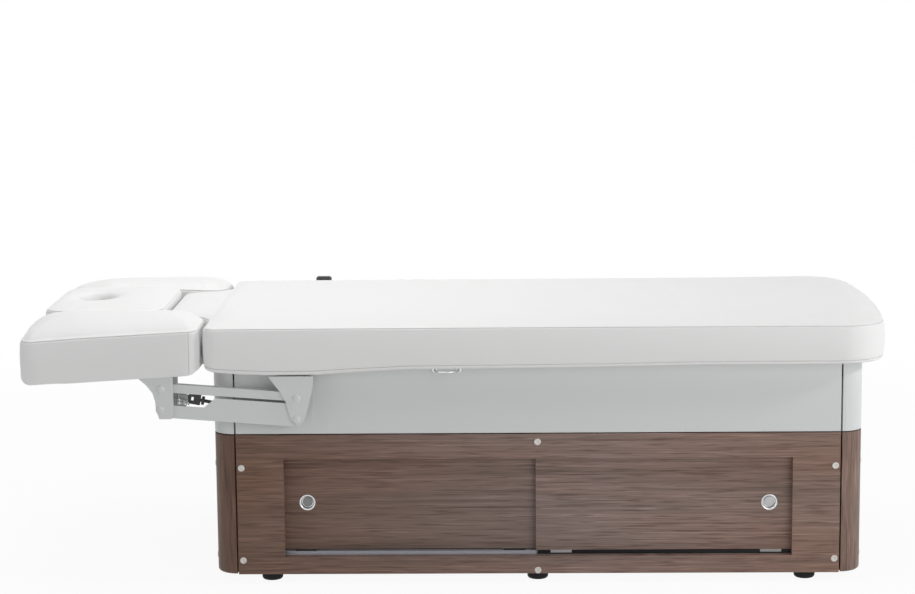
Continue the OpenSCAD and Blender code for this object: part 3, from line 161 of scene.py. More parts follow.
class Finish:
    """A material being mixed: adds nodes, links them and sets the main shader."""

    def __init__(self, name, colour, roughness, **settings):
        self.material = bpy.data.materials.new(name)
        self.material.use_nodes = True
        self.tree = self.material.node_tree
        self.main = self.tree.nodes["Principled BSDF"]
        self.main.inputs["Base Color"].default_value = (*colour, 1)
        self.main.inputs["Roughness"].default_value = roughness
        for socket, value in settings.items():
            self.main.inputs[socket.replace("_", " ")].default_value = value

    def add(self, kind, settings=None, **inputs):
        """New node. An input is named with _ for a space, or _ and its number. One that is
        given as a socket is linked, and any other is set."""
        node = self.tree.nodes.new("ShaderNode" + kind)
        for key, value in (settings or {}).items():
            setattr(node, key, value)
        for key, value in inputs.items():
            socket = node.inputs[int(key[1:]) if key[0] == "_" else key.replace("_", " ")]
            if isinstance(value, bpy.types.NodeSocket):
                self.tree.links.new(value, socket)
            else:
                socket.default_value = value
        return node

    def place(self, scale=(1, 1, 1)):
        """Object coordinates, stretched by a scale along each axis."""
        coordinates = self.add("TexCoord").outputs["Object"]
        return self.add("Mapping", Vector=coordinates, Scale=scale).outputs[0]

    def along_x(self):
        """Place along X as a pattern, in metres."""
        return self.add("SeparateXYZ", Vector=self.place()).outputs["X"]

    def noise(self, vector, scale, detail=4.0, roughness=0.55):
        """Cloudy pattern from 0 to 1, of so many cells to the metre."""
        return self.add("TexNoise", Vector=vector, Scale=scale, Detail=detail,
            Roughness=roughness).outputs[0]

    def spread(self, value, low, high, start=0.3, end=0.7):
        """Carries the range start to end of a pattern over to low to high."""
        return self.add("MapRange", Value=value, From_Min=start, From_Max=end, To_Min=low,
            To_Max=high).outputs[0]

    def ramp(self, value, stops):
        """Colour from a pattern, by stops of (value, colour)."""
        node = self.add("ValToRGB", Fac=value)
        for extra in stops[2:]:
            node.color_ramp.elements.new(0.5)
        for element, (position, colour) in zip(node.color_ramp.elements, stops):
            element.position, element.color = position, (*colour, 1)
        return node.outputs[0]

    def relief(self, height, distance, strength=1.0):
        """Bump of the main shader from a height pattern, in metres of depth."""
        bump = self.add("Bump", Height=height, Distance=distance, Strength=strength)
        self.tree.links.new(bump.outputs[0], self.main.inputs["Normal"])

    def link(self, output, socket):
        """Lets a pattern drive one socket of the main shader."""
        self.tree.links.new(output, self.main.inputs[socket])

    def tint(self, value, dark, light, start=0.3, end=0.7):
        """Colour that runs from dark to light with a pattern."""
        self.link(self.ramp(value, [(start, dark), (end, light)]), "Base Color")


def put(name, mesh, material, body, stands_for=(), crisp=None):
    """Shows a mesh as a piece that moves with a body and stands for some solids."""
    piece = bpy.data.objects.new(name, mesh)
    scene.collection.objects.link(piece)
    mesh.materials.clear()
    mesh.materials.append(material)
    mesh.polygons.foreach_set("use_smooth", np.ones(len(mesh.polygons), bool))
    if crisp is not None:
        mesh.set_sharp_from_angle(angle=math.radians(crisp))
    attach(piece, body)
    if stands_for:
        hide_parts(*stands_for)
    return piece


def joined(name, grids, marks=None):
    """Closed mesh from grids of points (rows, columns, 3) that wrap round their columns.
    Equal points are merged, so a row drawn into one point closes a pole. Marks are named
    values of the points, kept with the mesh."""
    points = np.concatenate([g.reshape(-1, 3) for g in grids])
    faces, start = [], 0
    for g in grids:
        rows, columns = g.shape[:2]
        k = np.arange((rows - 1) * columns).reshape(rows - 1, columns)
        r = np.roll(k, -1, axis=1)
        squares = np.stack([k, r, r + columns, k + columns], -1)
        faces.append(squares.reshape(-1, 4) + start)
        start += rows * columns
    mesh = bpy.data.meshes.new(name)
    mesh.from_pydata(points.tolist(), [], np.concatenate(faces).tolist())
    for mark, values in (marks or {}).items():
        layer = mesh.attributes.new(mark, "FLOAT", "POINT")
        layer.data.foreach_set("value", np.ascontiguousarray(values, np.float32).ravel())
    shell = bmesh.new()
    shell.from_mesh(mesh)
    bmesh.ops.remove_doubles(shell, verts=shell.verts, dist=1e-6)
    bmesh.ops.dissolve_degenerate(shell, dist=1e-7, edges=shell.edges)
    bmesh.ops.recalc_face_normals(shell, faces=shell.faces)
    shell.to_mesh(mesh)
    shell.free()
    return mesh


def turned(profile, place, axis=(0, 0, 1), steps=48):
    """Turned form: a profile of (radius, height) carried round an axis through a place,
    point = place + height * axis + radius * (cos a * side + sin a * other side)."""
    axis = np.array(axis, float)
    side = np.cross(axis, [0.0, 1.0, 0.0] if abs(axis[1]) < 0.5 else [1.0, 0.0, 0.0])
    side /= np.linalg.norm(side)
    other = np.cross(axis, side)
    a = np.linspace(0, 2 * math.pi, steps, endpoint=False)
    ring = np.cos(a)[:, None] * side + np.sin(a)[:, None] * other
    r, h = np.array(profile, float).T
    return np.array(place) + h[:, None, None] * axis + r[:, None, None] * ring[None]


foot_low, foot_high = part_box("foot_pads")
foot_r = 0.025
foot_xs = [foot_low.x + foot_r, (foot_low.x + foot_high.x) / 2, foot_high.x - foot_r]
foot_ys = [foot_low.y + foot_r, foot_high.y - foot_r]
foot_profile = [(0, 0), (0.0125, 0), (0.0132, 0.0003), (0.0138, 0.0011), (0.0150, 0.0014),
    (0.0164, 0.0003), (0.0196, 0.0003), (0.0216, 0.0010), (0.0234, 0.0026), (0.0245, 0.0048),
    (0.0249, 0.0078), (0.0250, 0.0188), (0.0246, 0.0205), (0.0236, 0.0214), (0.0205, 0.0218),
    (0.0062, 0.022), (0.0054, 0.0216), (0.0052, 0.012), (0, 0.012)]
rubber = Finish("black_rubber", (0.012, 0.012, 0.0125), 0.7, Specular_IOR_Level=0.3)
rubber_grain = rubber.noise(rubber.place(), 900, 3)
rubber.link(rubber.spread(rubber_grain, 0.6, 0.8), "Roughness")
rubber.relief(rubber_grain, 0.00012)
put("feet", joined("feet", [turned(foot_profile, (x, y, 0)) for x in foot_xs for y in foot_ys]),
    rubber.material, "base", ["foot_pads"], crisp=50)

# Fine lines in metal, in cells to the metre along them and across them
cells_along, cells_across = 8, 1400


def drawn_steel(name, colour, roughness, along):
    """Bright steel or aluminium with fine lines left by drawing or grinding along an axis."""
    finish = Finish(name, colour, roughness, Metallic=1.0)
    cells = [cells_along if k == along else cells_across for k in range(3)]
    lines = finish.noise(finish.place(cells), 1, 2)
    finish.link(finish.spread(lines, roughness - 0.07, roughness + 0.09), "Roughness")
    finish.relief(lines, 0.00002)
    return finish.material


def plain(node, material):
    """Shows a solid as it is, in a finished material."""
    nodes[node].data.materials.clear()
    nodes[node].data.materials.append(material)


bright_steel = drawn_steel("ground_steel", (0.62, 0.62, 0.63), 0.28, 2)
plain("foot_studs", bright_steel)

# ---- Base frame ---------------------------------------------------------------------
# Low frame of flat steel tubes: three crossbars over the feet and two rails on them,
# welded and sprayed grey. It lies under the cabinet's floor board.


def sprayed(name, colour, roughness, peel=0.00006):
    """Sprayed and baked paint: an even colour with the faint dimples of orange peel."""
    finish = Finish(name, colour, roughness)
    where = finish.place()
    haze = finish.noise(where, 30, 3)
    finish.link(finish.spread(haze, roughness - 0.04, roughness + 0.05), "Roughness")
    finish.relief(finish.noise(where, 420, 2, 0.4), peel)
    return finish.material


def eased(node, material, body, width, steps=2):
    """A board, plate or tube with its edges rounded over: equal corners of the solid's
    surface are merged, flat parts made whole, and all sharp edges bevelled by width."""
    name = node + "_finished"
    mesh = nodes[node].data.copy()
    mesh.name = name
    shell = bmesh.new()
    shell.from_mesh(mesh)
    bmesh.ops.remove_doubles(shell, verts=shell.verts, dist=1e-5)
    bmesh.ops.dissolve_limit(shell, angle_limit=0.004, verts=shell.verts, edges=shell.edges)
    shell.to_mesh(mesh)
    shell.free()
    piece = put(name, mesh, material, body, [node], crisp=30)
    bevel = piece.modifiers.new("rounded_edges", "BEVEL")
    bevel.width, bevel.segments = width, steps
    bevel.limit_method, bevel.angle_limit = "ANGLE", math.radians(28)
    bevel.use_clamp_overlap = True
    bevel.harden_normals = True


grey_spray = sprayed("grey_spray", (0.21, 0.22, 0.23), 0.42)
eased("base_frame", grey_spray, "base", 0.0012, 3)

# ---- Wooden panels, posts and inner boards ------------------------------------------
# Panels of board with a grey-brown wood laminate, its grain level on the panels and
# upright on the rounded corner posts. They are screwed to pine battens in the corners.
# The cabinet's floor, lid and partitions are white-faced board.


def laminate(name, grain, tone=1.5, band_x=-2.0):
    """Printed wood laminate. Its grain is layers of noise that are stretched along the
    boards (grain gives the cells to the metre on each axis), from broad bands to pores.
    Its colours are multiplied by tone. Along X it carries painted light: painted shade makes it
    darker and warmer towards the head end, and a painted sheen makes it greyer and bluer towards
    the middle. Left of band_x it is darkened to 0.12 of its colour."""
    finish = Finish(name, (0.17, 0.12, 0.1), 0.45, Specular_IOR_Level=0.4)
    g = np.array(grain, float)
    bands = finish.noise(finish.place(g * (0.5, 0.5, 0.45)), 1, 3, 0.5)
    streaks = finish.noise(finish.place(g * (1.3, 1.3, 4.5)), 1, 8, 0.72)
    dark_dashes = finish.noise(finish.place(g * (7, 7, 7.6)), 1, 2, 0.45)
    pale_dashes = finish.noise(finish.place(g * (6, 6, 9)), 1.1, 2, 0.45)
    hue = finish.noise(finish.place(g * (0.7, 0.7, 0.22)), 1, 2, 0.5)
    stops = [(0.3, (0.105, 0.070, 0.056)), (0.45, (0.163, 0.113, 0.092)),
        (0.55, (0.19, 0.134, 0.11)), (0.7, (0.25, 0.181, 0.15))]
    wood = finish.ramp(streaks, [(spot, [tone * c for c in colour]) for spot, colour in stops])

    def layer(under, share, colour):
        """Multiplies the colour under it by another, by a share that a pattern gives."""
        return finish.add("Mix", {"data_type": "RGBA", "blend_type": "MULTIPLY"},
            Factor=share, _6=under, _7=colour).outputs[2]

    shade = layer(wood, finish.spread(hue, 0.0, 1.0, 0.4, 0.62), (1.05, 0.95, 0.9, 1))
    shade = layer(shade, finish.spread(bands, 1.0, 0.0, 0.36, 0.6), (0.86, 0.85, 0.84, 1))
    shade = layer(shade, finish.spread(dark_dashes, 0.0, 1.0, 0.53, 0.68), (0.62, 0.57, 0.54, 1))
    shade = layer(shade, finish.spread(pale_dashes, 0.0, 1.0, 0.55, 0.7), (1.34, 1.36, 1.38, 1))
    along = finish.along_x()
    # Painted light along X: painted shade darkens and warms the wood towards the head end, and a
    # painted sheen makes it greyer and bluer towards the middle and the foot end
    painted_shade_and_sheen = finish.ramp(finish.spread(along, 0.0, 1.0, -0.56, 0.94),
        [(0.0, (0.6, 0.48, 0.385)), (0.6, (0.93, 0.98, 1.07)), (0.95, (0.91, 0.87, 0.85))])
    shade = layer(shade, 1.0, painted_shade_and_sheen)
    band = finish.spread(along, 1.0, 0.0, band_x, band_x + 0.0001)
    finish.link(layer(shade, band, (0.12, 0.12, 0.12, 1)), "Base Color")
    finish.link(finish.spread(streaks, 0.4, 0.52), "Roughness")
    finish.relief(streaks, 0.0001)
    return finish.material


level_cells = (1.6, 1.6, 36)
level_grain = laminate("level_grain_laminate", level_cells)
# The posts' laminate has a lower tone, 1.37 against 1.5, as painted shade that evens out the
# stronger light on their round faces
upright_grain = laminate("upright_grain_laminate", (46, 46, 1.3), 1.37)
for board in ("cabinet_front", "cabinet_rear", "cabinet_ends"):
    eased(board, level_grain, "base", 0.0008)

post_low, post_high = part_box("cabinet_posts")
post_r, post_wall, post_foot_r, post_ease = 0.05, 0.018, 0.008, 0.0008
straight_from, hollow_depth, closing_at, arc_points = 0.03, 0.011, 0.02, 25


def corner_post(side_x, side_y):
    """Quarter-round post. Its section is a quarter disc; towards its foot the round face
    draws in by r - sqrt(r^2 - (r - z)^2), which rounds its lower edge. Above the lid it
    is hollowed to the thickness of the panels."""
    z1, z2 = post_low.z, post_high.z
    a = np.linspace(0, math.pi / 2, arc_points)
    t = np.linspace(0, 1, 9)[:, None]
    low = z1 + post_foot_r * (1 - np.cos(t * math.pi / 2))
    draw = post_foot_r * (1 - np.sin(t * math.pi / 2))
    heights = np.concatenate([low,
        [[z1 + straight_from], [z2 - hollow_depth], [z2 - post_ease], [z2]]])
    radii = post_r - np.concatenate([draw, [[0.0], [0.0], [0.0], [post_ease]]])
    inner_r = np.zeros((len(heights), 1))
    inner_r[-3:] = post_r - post_wall
    outer = np.stack([radii * np.cos(a), radii * np.sin(a), heights + 0 * a], -1)
    inner = np.stack([inner_r * np.cos(a[::-1]), inner_r * np.sin(a[::-1]), heights + 0 * a], -1)
    rings = np.concatenate([outer, inner], 1)
    # The bottom of the hollow, then a row that closes the foot and one that closes the top
    step = rings[-3:-2].copy()
    step[:, arc_points:, :2] = 0
    base = rings[:1].copy()
    base[:, :, :2] = closing_at
    top = rings[-1:].copy()
    top[:, arc_points:] = top[:, arc_points - 1::-1]
    rings = np.concatenate([base, rings[:-3], step, rings[-3:], top])
    centre = np.array([(post_high.x if side_x > 0 else post_low.x) - side_x * post_r,
        (post_high.y if side_y > 0 else post_low.y) - side_y * post_r, 0])
    return centre + rings * (side_x, side_y, 1)


put("corner_posts", joined("corner_posts", [corner_post(x, y) for x in (-1, 1) for y in (-1, 1)]),
    upright_grain, "base", ["cabinet_posts"], crisp=35)

pine = Finish("pine", (0.62, 0.47, 0.3), 0.6)
pine_rings = pine.noise(pine.place((60, 60, 2)), 1, 4)
pine.tint(pine_rings, (0.52, 0.37, 0.21), (0.7, 0.55, 0.38))
pine.relief(pine_rings, 0.0002)
eased("corner_battens", pine.material, "base", 0.001)

white_board = Finish("white_faced_board", (0.82, 0.81, 0.79), 0.5)
board_specks = white_board.noise(white_board.place(), 700, 3)
white_board.tint(board_specks, (0.79, 0.78, 0.76), (0.84, 0.83, 0.81))
white_board.relief(board_specks, 0.00006)
for board in ("cabinet_floor", "partitions", "cabinet_top"):
    eased(board, white_board.material, "base", 0.0005)

# ---- Screws with caps ---------------------------------------------------------------
# Screws hold the panels to the battens and the frame. Each head is under a round pale
# plastic cap with a soft edge and a slightly dished face.
face_y1, face_y2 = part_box("cabinet_front")[0].y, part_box("cabinet_rear")[1].y
end_x1, end_x2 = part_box("cabinet_ends")[0].x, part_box("cabinet_ends")[1].x
middle_x, middle_y = (end_x1 + end_x2) / 2, (face_y1 + face_y2) / 2
screw_x, screw_y = 0.695, 0.2687
corner_zs, middle_zs = (0.279, 0.056), (0.339, 0.030)
cap_profile = [(0, -0.0002), (0.0068, -0.0002), (0.0078, 0.0004), (0.008, 0.0011),
    (0.0077, 0.0019), (0.0069, 0.0024), (0.0058, 0.0025), (0.0047, 0.0021), (0.0032, 0.00165),
    (0.0015, 0.0015), (0, 0.0015)]
panel_spots = [(x, z) for z in corner_zs for x in (-screw_x, screw_x)]
panel_spots += [(0, z) for z in middle_zs]
caps = [turned(cap_profile, (middle_x + x, y, z), (0, s, 0), 32)
    for y, s in ((face_y1, -1), (face_y2, 1)) for x, z in panel_spots]
caps += [turned(cap_profile, (x, middle_y + y, z), (s, 0, 0), 32)
    for x, s in ((end_x1, -1), (end_x2, 1)) for y in (-screw_y, screw_y) for z in corner_zs]
cap_plastic = Finish("pale_cap_plastic", (0.76, 0.72, 0.68), 0.38)
cap_plastic.relief(cap_plastic.noise(cap_plastic.place(), 1300, 2), 0.00003)
put("screw_caps", joined("screw_caps", caps), cap_plastic.material, "base", ["panel_screws"],
    crisp=40)

# ---- Doors, finger pulls, glides and tracks -----------------------------------------
# Two laminate doors slide past each other in aluminium tracks on plastic glides. Each has
# a chrome finger pull, pressed from sheet, let into it near its outer end.
# Each door's laminate is darkened to 0.12 of its colour over its first 0.4 mm along X, its
# head-end face
dark_edge = 0.0004
for side in ("left", "right"):
    door = side + "_door"
    banded = laminate(door + "_laminate", level_cells, band_x=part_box(door)[0].x + dark_edge)
    eased(door, banded, door, 0.0006)

chrome = Finish("chrome", (0.66, 0.66, 0.67), 0.12, Metallic=1.0)
chrome_haze = chrome.noise(chrome.place(), 60, 3)
chrome.link(chrome.spread(chrome_haze, 0.06, 0.14), "Roughness")
chrome.relief(chrome.noise(chrome.place(), 25, 2), 0.00002)
pull_rim = 0.0008
pull_profile = [(0, 0.0102), (0.0166, 0.0102), (0.01675, 0.0096), (0.01675, 0), (0.0184, 0),
    (0.01875, -0.0002), (0.0187, -0.0006), (0.0182, -pull_rim), (0.0172, -pull_rim),
    (0.0160, -0.0005), (0.0149, 0.0006), (0.0142, 0.0022), (0.0139, 0.0045), (0.0138, 0.0084),
    (0.0136, 0.009), (0, 0.009)]
disc_profile = [(0, 0.009), (0.0112, 0.009), (0.0118, 0.0086), (0.0119, 0.0068),
    (0.0116, 0.0061), (0.0108, 0.0058), (0.0094, 0.0057), (0, 0.0055)]
for side, grey in (("left", 0.22), ("right", 0.5)):
    satin_grey = Finish(side + "_satin_metal", (grey, grey, grey), 0.42, Metallic=0.7)
    satin_lines = satin_grey.noise(satin_grey.place((900, 900, 12)), 1, 2)
    satin_grey.link(satin_grey.spread(satin_lines, 0.36, 0.5), "Roughness")
    satin_grey.relief(satin_lines, 0.00002)
    low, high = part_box(side + "_pull")
    middle = ((low.x + high.x) / 2, low.y + pull_rim, (low.z + high.z) / 2)
    cup, disc = side + "_finger_pull", side + "_finger_pull_disc"
    put(cup, joined(cup, [turned(pull_profile, middle, (0, 1, 0), 64)]),
        chrome.material, side + "_door", [side + "_pull"], crisp=35)
    put(disc, joined(disc, [turned(disc_profile, middle, (0, 1, 0), 48)]),
        satin_grey.material, side + "_door", crisp=35)

for side, shade in (("left", (0.05, 0.05, 0.055)), ("right", (0.5, 0.5, 0.49))):
    glide_plastic = Finish(side + "_glide_plastic", shade, 0.35)
    glide_plastic.relief(glide_plastic.noise(glide_plastic.place(), 500, 2), 0.00005)
    eased(side + "_glides", glide_plastic.material, side + "_door", 0.0006)

# The tracks are bare metal towards the head end; from the middle on, under the right door, they
# are black, a painted shadow
bare_metal, painted_shadow_black = (0.4, 0.4, 0.43), (0.03, 0.03, 0.032)
track_metal = Finish("drawn_aluminium", (0.62, 0.62, 0.66), 0.4, Metallic=0.85)
track_cells = track_metal.place((cells_along, cells_across, cells_across))
track_metal.relief(track_metal.noise(track_cells, 1, 2), 0.00002)
painted_shadow_share = track_metal.spread(track_metal.along_x(), 0.0, 1.0, 0.186, 0.192)
track_metal.tint(painted_shadow_share, bare_metal, painted_shadow_black, 0.0, 1.0)
eased("door_tracks", track_metal.material, "base", 0.0003)

# ---- Lifting columns and what stands beside them ------------------------------------
# Each column is three square aluminium tubes round a lifting drive. A control box stands
# on the cabinet's floor beside one, and the mains inlet is let into the rear panel.
column_metal = drawn_steel("anodised_aluminium", (0.58, 0.59, 0.6), 0.4, 2)
for tube, body in (("column_outers", "base"), ("column_middles", "lift_stage"),
        ("column_inners", "lying_top")):
    eased(tube, column_metal, body, 0.0015, 3)
plain("lift_rods", bright_steel)
drive_plastic = Finish("black_moulded_plastic", (0.045, 0.045, 0.05), 0.5)
drive_grain = drive_plastic.noise(drive_plastic.place(), 1500, 3)
drive_plastic.link(drive_plastic.spread(drive_grain, 0.42, 0.6), "Roughness")
drive_plastic.relief(drive_grain, 0.00008)
for part in ("lift_actuators", "control_box", "mains_inlet"):
    eased(part, drive_plastic.material, "base", 0.0008)

# ---- Sleeves, top frame and collar --------------------------------------------------
# White sheet-steel sleeves telescope inside the cabinet. The collar that hides them is
# white panels with rounded corner pieces, screwed to a frame of grey steel tubes. On the
# frame lies the plywood board for the mattress.
white_paint = sprayed("white_satin_paint", (0.705, 0.718, 0.718), 0.34)
eased("fixed_sleeve", white_paint, "base", 0.0008)
eased("middle_sleeve", white_paint, "lift_stage", 0.0008)
for part in ("collar_sides", "collar_ends", "collar_posts"):
    eased(part, white_paint, "lying_top", 0.0008)
for part in ("top_rails", "top_crossbars", "rod_sockets"):
    eased(part, grey_spray, "lying_top", 0.001)
plywood = Finish("plywood", (0.66, 0.52, 0.35), 0.6)
ply_grain = plywood.noise(plywood.place((4, 60, 400)), 1, 5)
plywood.tint(ply_grain, (0.52, 0.38, 0.23), (0.72, 0.58, 0.41))
plywood.relief(ply_grain, 0.0001)
eased("mattress_board", plywood.material, "lying_top", 0.0008)

# ---- Mattress -----------------------------------------------------------------------
# Foam block under a smooth white cover, sewn from a top, a side band and an underside.
# At the head it narrows to a tongue between the arm pads. It lies on the plywood board.
leather_white = (0.872, 0.872, 0.868)
leather = Finish("white_leather", leather_white, 0.42, Specular_IOR_Level=0.45)
leather_where = leather.place()
leather_cells = leather.add("TexVoronoi", {"feature": "DISTANCE_TO_EDGE"}, Vector=leather_where,
    Scale=900.0).outputs[0]
leather_clouds = leather.noise(leather_where, 14, 4)
leather.link(leather.spread(leather_clouds, 0.37, 0.5), "Roughness")
leather_height = leather.add("Math", {"operation": "MULTIPLY_ADD"},
    _0=leather.spread(leather_cells, 0.0, 1.0, 0.0, 0.25), _1=0.09,
    _2=leather.noise(leather_where, 11, 2, 0.4)).outputs[0]
leather.relief(leather_height, 0.0007, 0.8)
# Seam grooves carry a painted shade line: where the seam mark is 1 the leather is darkened to 0.5
seam_painted_shade = leather.add("Attribute", {"attribute_name": "seam"}).outputs["Fac"]
leather.tint(seam_painted_shade, leather_white, (0.5, 0.5, 0.495), 0.0, 1.0)


def evenly(points, count, bend=0.1):
    """A line drawn again with count points. They are spaced by length plus bend times the
    angle turned, so that they stand closer where the line curves."""
    points = np.array(points, float)
    step = np.diff(points, axis=0)
    length = np.hypot(*step.T)
    keep = np.append(True, length > 1e-7)
    points, step, length = points[keep], step[keep[1:]], length[keep[1:]]
    heading = np.unwrap(np.arctan2(step[:, 1], step[:, 0]))
    turn = np.abs(np.diff(heading, prepend=heading[0], append=heading[-1]))
    along = np.concatenate([[0], np.cumsum(length + bend * (turn[:-1] + turn[1:]) / 2)])
    spots = np.linspace(0, along[-1], count)
    return np.stack([np.interp(spots, along, points[:, k]) for k in range(2)], -1)


def arc(centre, r, a1, a2, count=24):
    """Points on a circle: centre + r * (cos a, sin a), with a in degrees."""
    a = np.radians(np.linspace(a1, a2, count))
    return np.array(centre) + r * np.stack([np.cos(a), np.sin(a)], -1)


def drawn_in(p, q, depth, count=30):
    """Line from p to q that sags to its left side by 4 * depth * s * (1 - s)."""
    s = np.linspace(0, 1, count)[:, None]
    p, q = np.array(p), np.array(q)
    d = (q - p) / np.hypot(*(q - p))
    return p + s * (q - p) + 4 * depth * s * (1 - s) * np.array([-d[1], d[0]])


def looped(side_a, side_b, count):
    """Closed outline from two lines that both run from one end's middle to the other's.
    Point i of one stands across from point i of the other."""
    a, b = evenly(side_a, count), evenly(side_b, count)
    return np.concatenate([a, b[-2:0:-1]])


def moved_in(loop, inset):
    """Outline moved inwards, square to itself, by an inset."""
    d = np.roll(loop, -1, 0) - np.roll(loop, 1, 0)
    outward = np.stack([d[:, 1], -d[:, 0]], -1) / np.hypot(*d.T)[:, None]
    area = np.sum(loop[:, 0] * np.roll(loop[:, 1], -1) - loop[:, 1] * np.roll(loop[:, 0], -1))
    return loop - inset * outward * np.sign(area)


def to_spine(ring, end_gap, share):
    """Ring drawn towards the line along its middle, by a share of the way. The spots on
    the line are the same for two points that stand across from each other."""
    n = len(ring) // 2
    x = ring[:, 0]
    across = np.concatenate([x[:1], x[:n:-1], x[n:n + 1], x[n - 1:0:-1]])
    middle_y = (ring[:, 1].max() + ring[:, 1].min()) / 2
    spot = np.clip((x + across) / 2, x.min() + end_gap, x.max() - end_gap)
    return ring + share * (np.stack([spot, np.full_like(x, middle_y)], -1) - ring)


# Side of a cushion as (height share, inset, mark) from its underside to its top. Marks
# are 2 where the cover is held down, and 1 at the bottom of a seam, where the cover gets a painted
# shade line.
upper_rows = [(0.19, 0.0013, 0), (0.32, 0.0004, 0), (0.5, 0.0, 0), (0.68, 0.0004, 0),
    (0.82, 0.0012, 0), (0.905, 0.0022, 0), (0.938, 0.0030, 2), (0.949, 0.0040, 2),
    (0.956, 0.0062, 1), (0.963, 0.0046, 2), (0.975, 0.0052, 2), (0.99, 0.0076, 0),
    (1.0, 0.0106, 2)]
side_rows = [(0.0, 0.030, 2), (0.0, 0.021, 2), (0.004, 0.0145, 2), (0.015, 0.0085, 0),
    (0.038, 0.0046, 0), (0.068, 0.0030, 0), (0.083, 0.0034, 2), (0.091, 0.0056, 1),
    (0.099, 0.0036, 2), (0.125, 0.0022, 0)] + upper_rows
# Rings that close the underside, from its middle out to the first of these rows
under_rings = 5


def away_from(loop, points):
    """Distance of each point from the outline: the least over its straight pieces of the
    distance to the nearest spot of the piece."""
    start, step = loop, np.roll(loop, -1, 0) - loop
    offset = points[:, None] - start[None]
    share = np.clip((offset * step).sum(-1) / (step * step).sum(-1), 0, 1)
    return np.linalg.norm(offset - share[..., None] * step, axis=-1).min(1)


def cushion(loop, z, t, crown, roll, spine_gap, rows=side_rows, dome=0.25):
    """Grid of a cushion from the middle of its underside to the middle of its top: rings
    by inset and height up the side, then rings towards the spine. Their height is the
    crown times 1 - (1 - d / roll)^2.2, with d the distance from the seam, evened out
    between neighbours. Dome is the share of the crown that is spread over the whole top
    as 1 - (1 - s)^2, with s the share of the way to the spine."""
    under = moved_in(loop, rows[0][1])
    rings = [(to_spine(under, spine_gap, s), z) for s in np.linspace(1, 0, under_rings + 1)[:-1]]
    rings += [(moved_in(loop, inset), z + t * h) for h, inset, mark in rows]
    seam = rings[-1][0]
    half_wide = np.ptp(loop[:, 1]) / 2
    near = np.array([0.0025, 0.0065, 0.013, 0.021, 0.031, 0.043, 0.057]) / half_wide
    further = 13 if half_wide > 0.2 else 6
    evenings = 10
    shares = np.concatenate([near, np.linspace(near[-1], 1, further)[1:]])
    tops = np.stack([to_spine(seam, spine_gap, s) for s in shares])
    d = np.stack([away_from(seam, ring) for ring in tops])
    lift = 1 - (1 - np.clip(d / roll, 0, 1)) ** 2.2
    for evening in range(evenings):
        lift[1:-1] = (2 * lift[1:-1] + lift[:-2] + lift[2:] + np.roll(lift, 1, 1)[1:-1]
            + np.roll(lift, -1, 1)[1:-1]) / 6
    height = z + t + crown * ((1 - dome) * lift + dome * (1 - (1 - shares[:, None]) ** 2))
    height[-1] = height[-1].mean()
    low = np.stack([np.column_stack([ring, np.full(len(ring), h)]) for ring, h in rings])
    return np.concatenate([low, np.concatenate([tops, height[..., None]], -1)])


swell_steps, swell_pressure = 20, 4.0


def filled(piece, firm, most):
    """The cover swells over its foam: a cloth that air presses outwards for some steps.
    Points where firm is 1 are held, and no point moves further than most. One subdivision
    smooths it afterwards."""
    mesh = piece.data
    rest = np.empty(len(mesh.vertices) * 3)
    mesh.vertices.foreach_get("co", rest)
    rest = rest.reshape(-1, 3)
    held = piece.vertex_groups.new(name="held")
    for weight in np.unique(firm):
        held.add(np.flatnonzero(firm == weight).tolist(), float(weight), "REPLACE")
    cloth = piece.modifiers.new("cover", "CLOTH")
    cloth.settings.quality = 5
    cloth.settings.mass = 0.25
    cloth.settings.tension_stiffness = cloth.settings.compression_stiffness = 12
    cloth.settings.bending_stiffness = 0.6
    cloth.settings.use_pressure = True
    cloth.settings.uniform_pressure_force = swell_pressure
    cloth.settings.effector_weights.gravity = 0
    cloth.settings.vertex_group_mass = "held"
    cloth.point_cache.frame_start, cloth.point_cache.frame_end = 1, swell_steps
    for step in range(1, swell_steps + 1):
        scene.frame_set(step)
    result = piece.evaluated_get(bpy.context.evaluated_depsgraph_get())
    swollen = np.empty(len(rest) * 3)
    result.data.vertices.foreach_get("co", swollen)
    move = swollen.reshape(-1, 3) - rest
    size = np.linalg.norm(move, axis=1, keepdims=True)
    move *= np.minimum(1, most / np.maximum(size, 1e-9))
    piece.modifiers.remove(cloth)
    piece.vertex_groups.clear()
    scene.frame_set(1)
    mesh.vertices.foreach_set("co", (rest + move).ravel())
    mesh.update()
    smooth = piece.modifiers.new("soft_form", "SUBSURF")
    smooth.levels = smooth.render_levels = 1


def covered(name, grid, body, node, most, rows=side_rows, under=under_rings,
        hold=False, stitched=None):
    """The first rings, under the cushion, all marked rows and the points in hold are
    held. The seams are marked for a painted shade line along their groove, also one that is
    stitched upright, given as its rows and column."""
    row_marks = np.zeros(len(grid))
    row_marks[:under] = 2
    row_marks[under:under + len(rows)] = [mark for h, inset, mark in rows]
    whole = np.ones(grid.shape[1])
    # Seam rows get the painted shade line in full, and the upright seam gets 0.8 of it
    seam = np.outer(row_marks == 1, whole)
    if stitched:
        seam[stitched] = 0.8
    mesh = joined(name, [grid], {"seam": seam, "firm": np.outer(row_marks > 0, whole) + hold > 0})
    piece = put(name, mesh, leather.material, body, [node])
    firm = np.empty(len(mesh.vertices), np.float32)
    mesh.attributes["firm"].data.foreach_get("value", firm)
    filled(piece, (firm > 0.5).astype(float), most)
    mesh.attributes.remove(mesh.attributes["firm"])


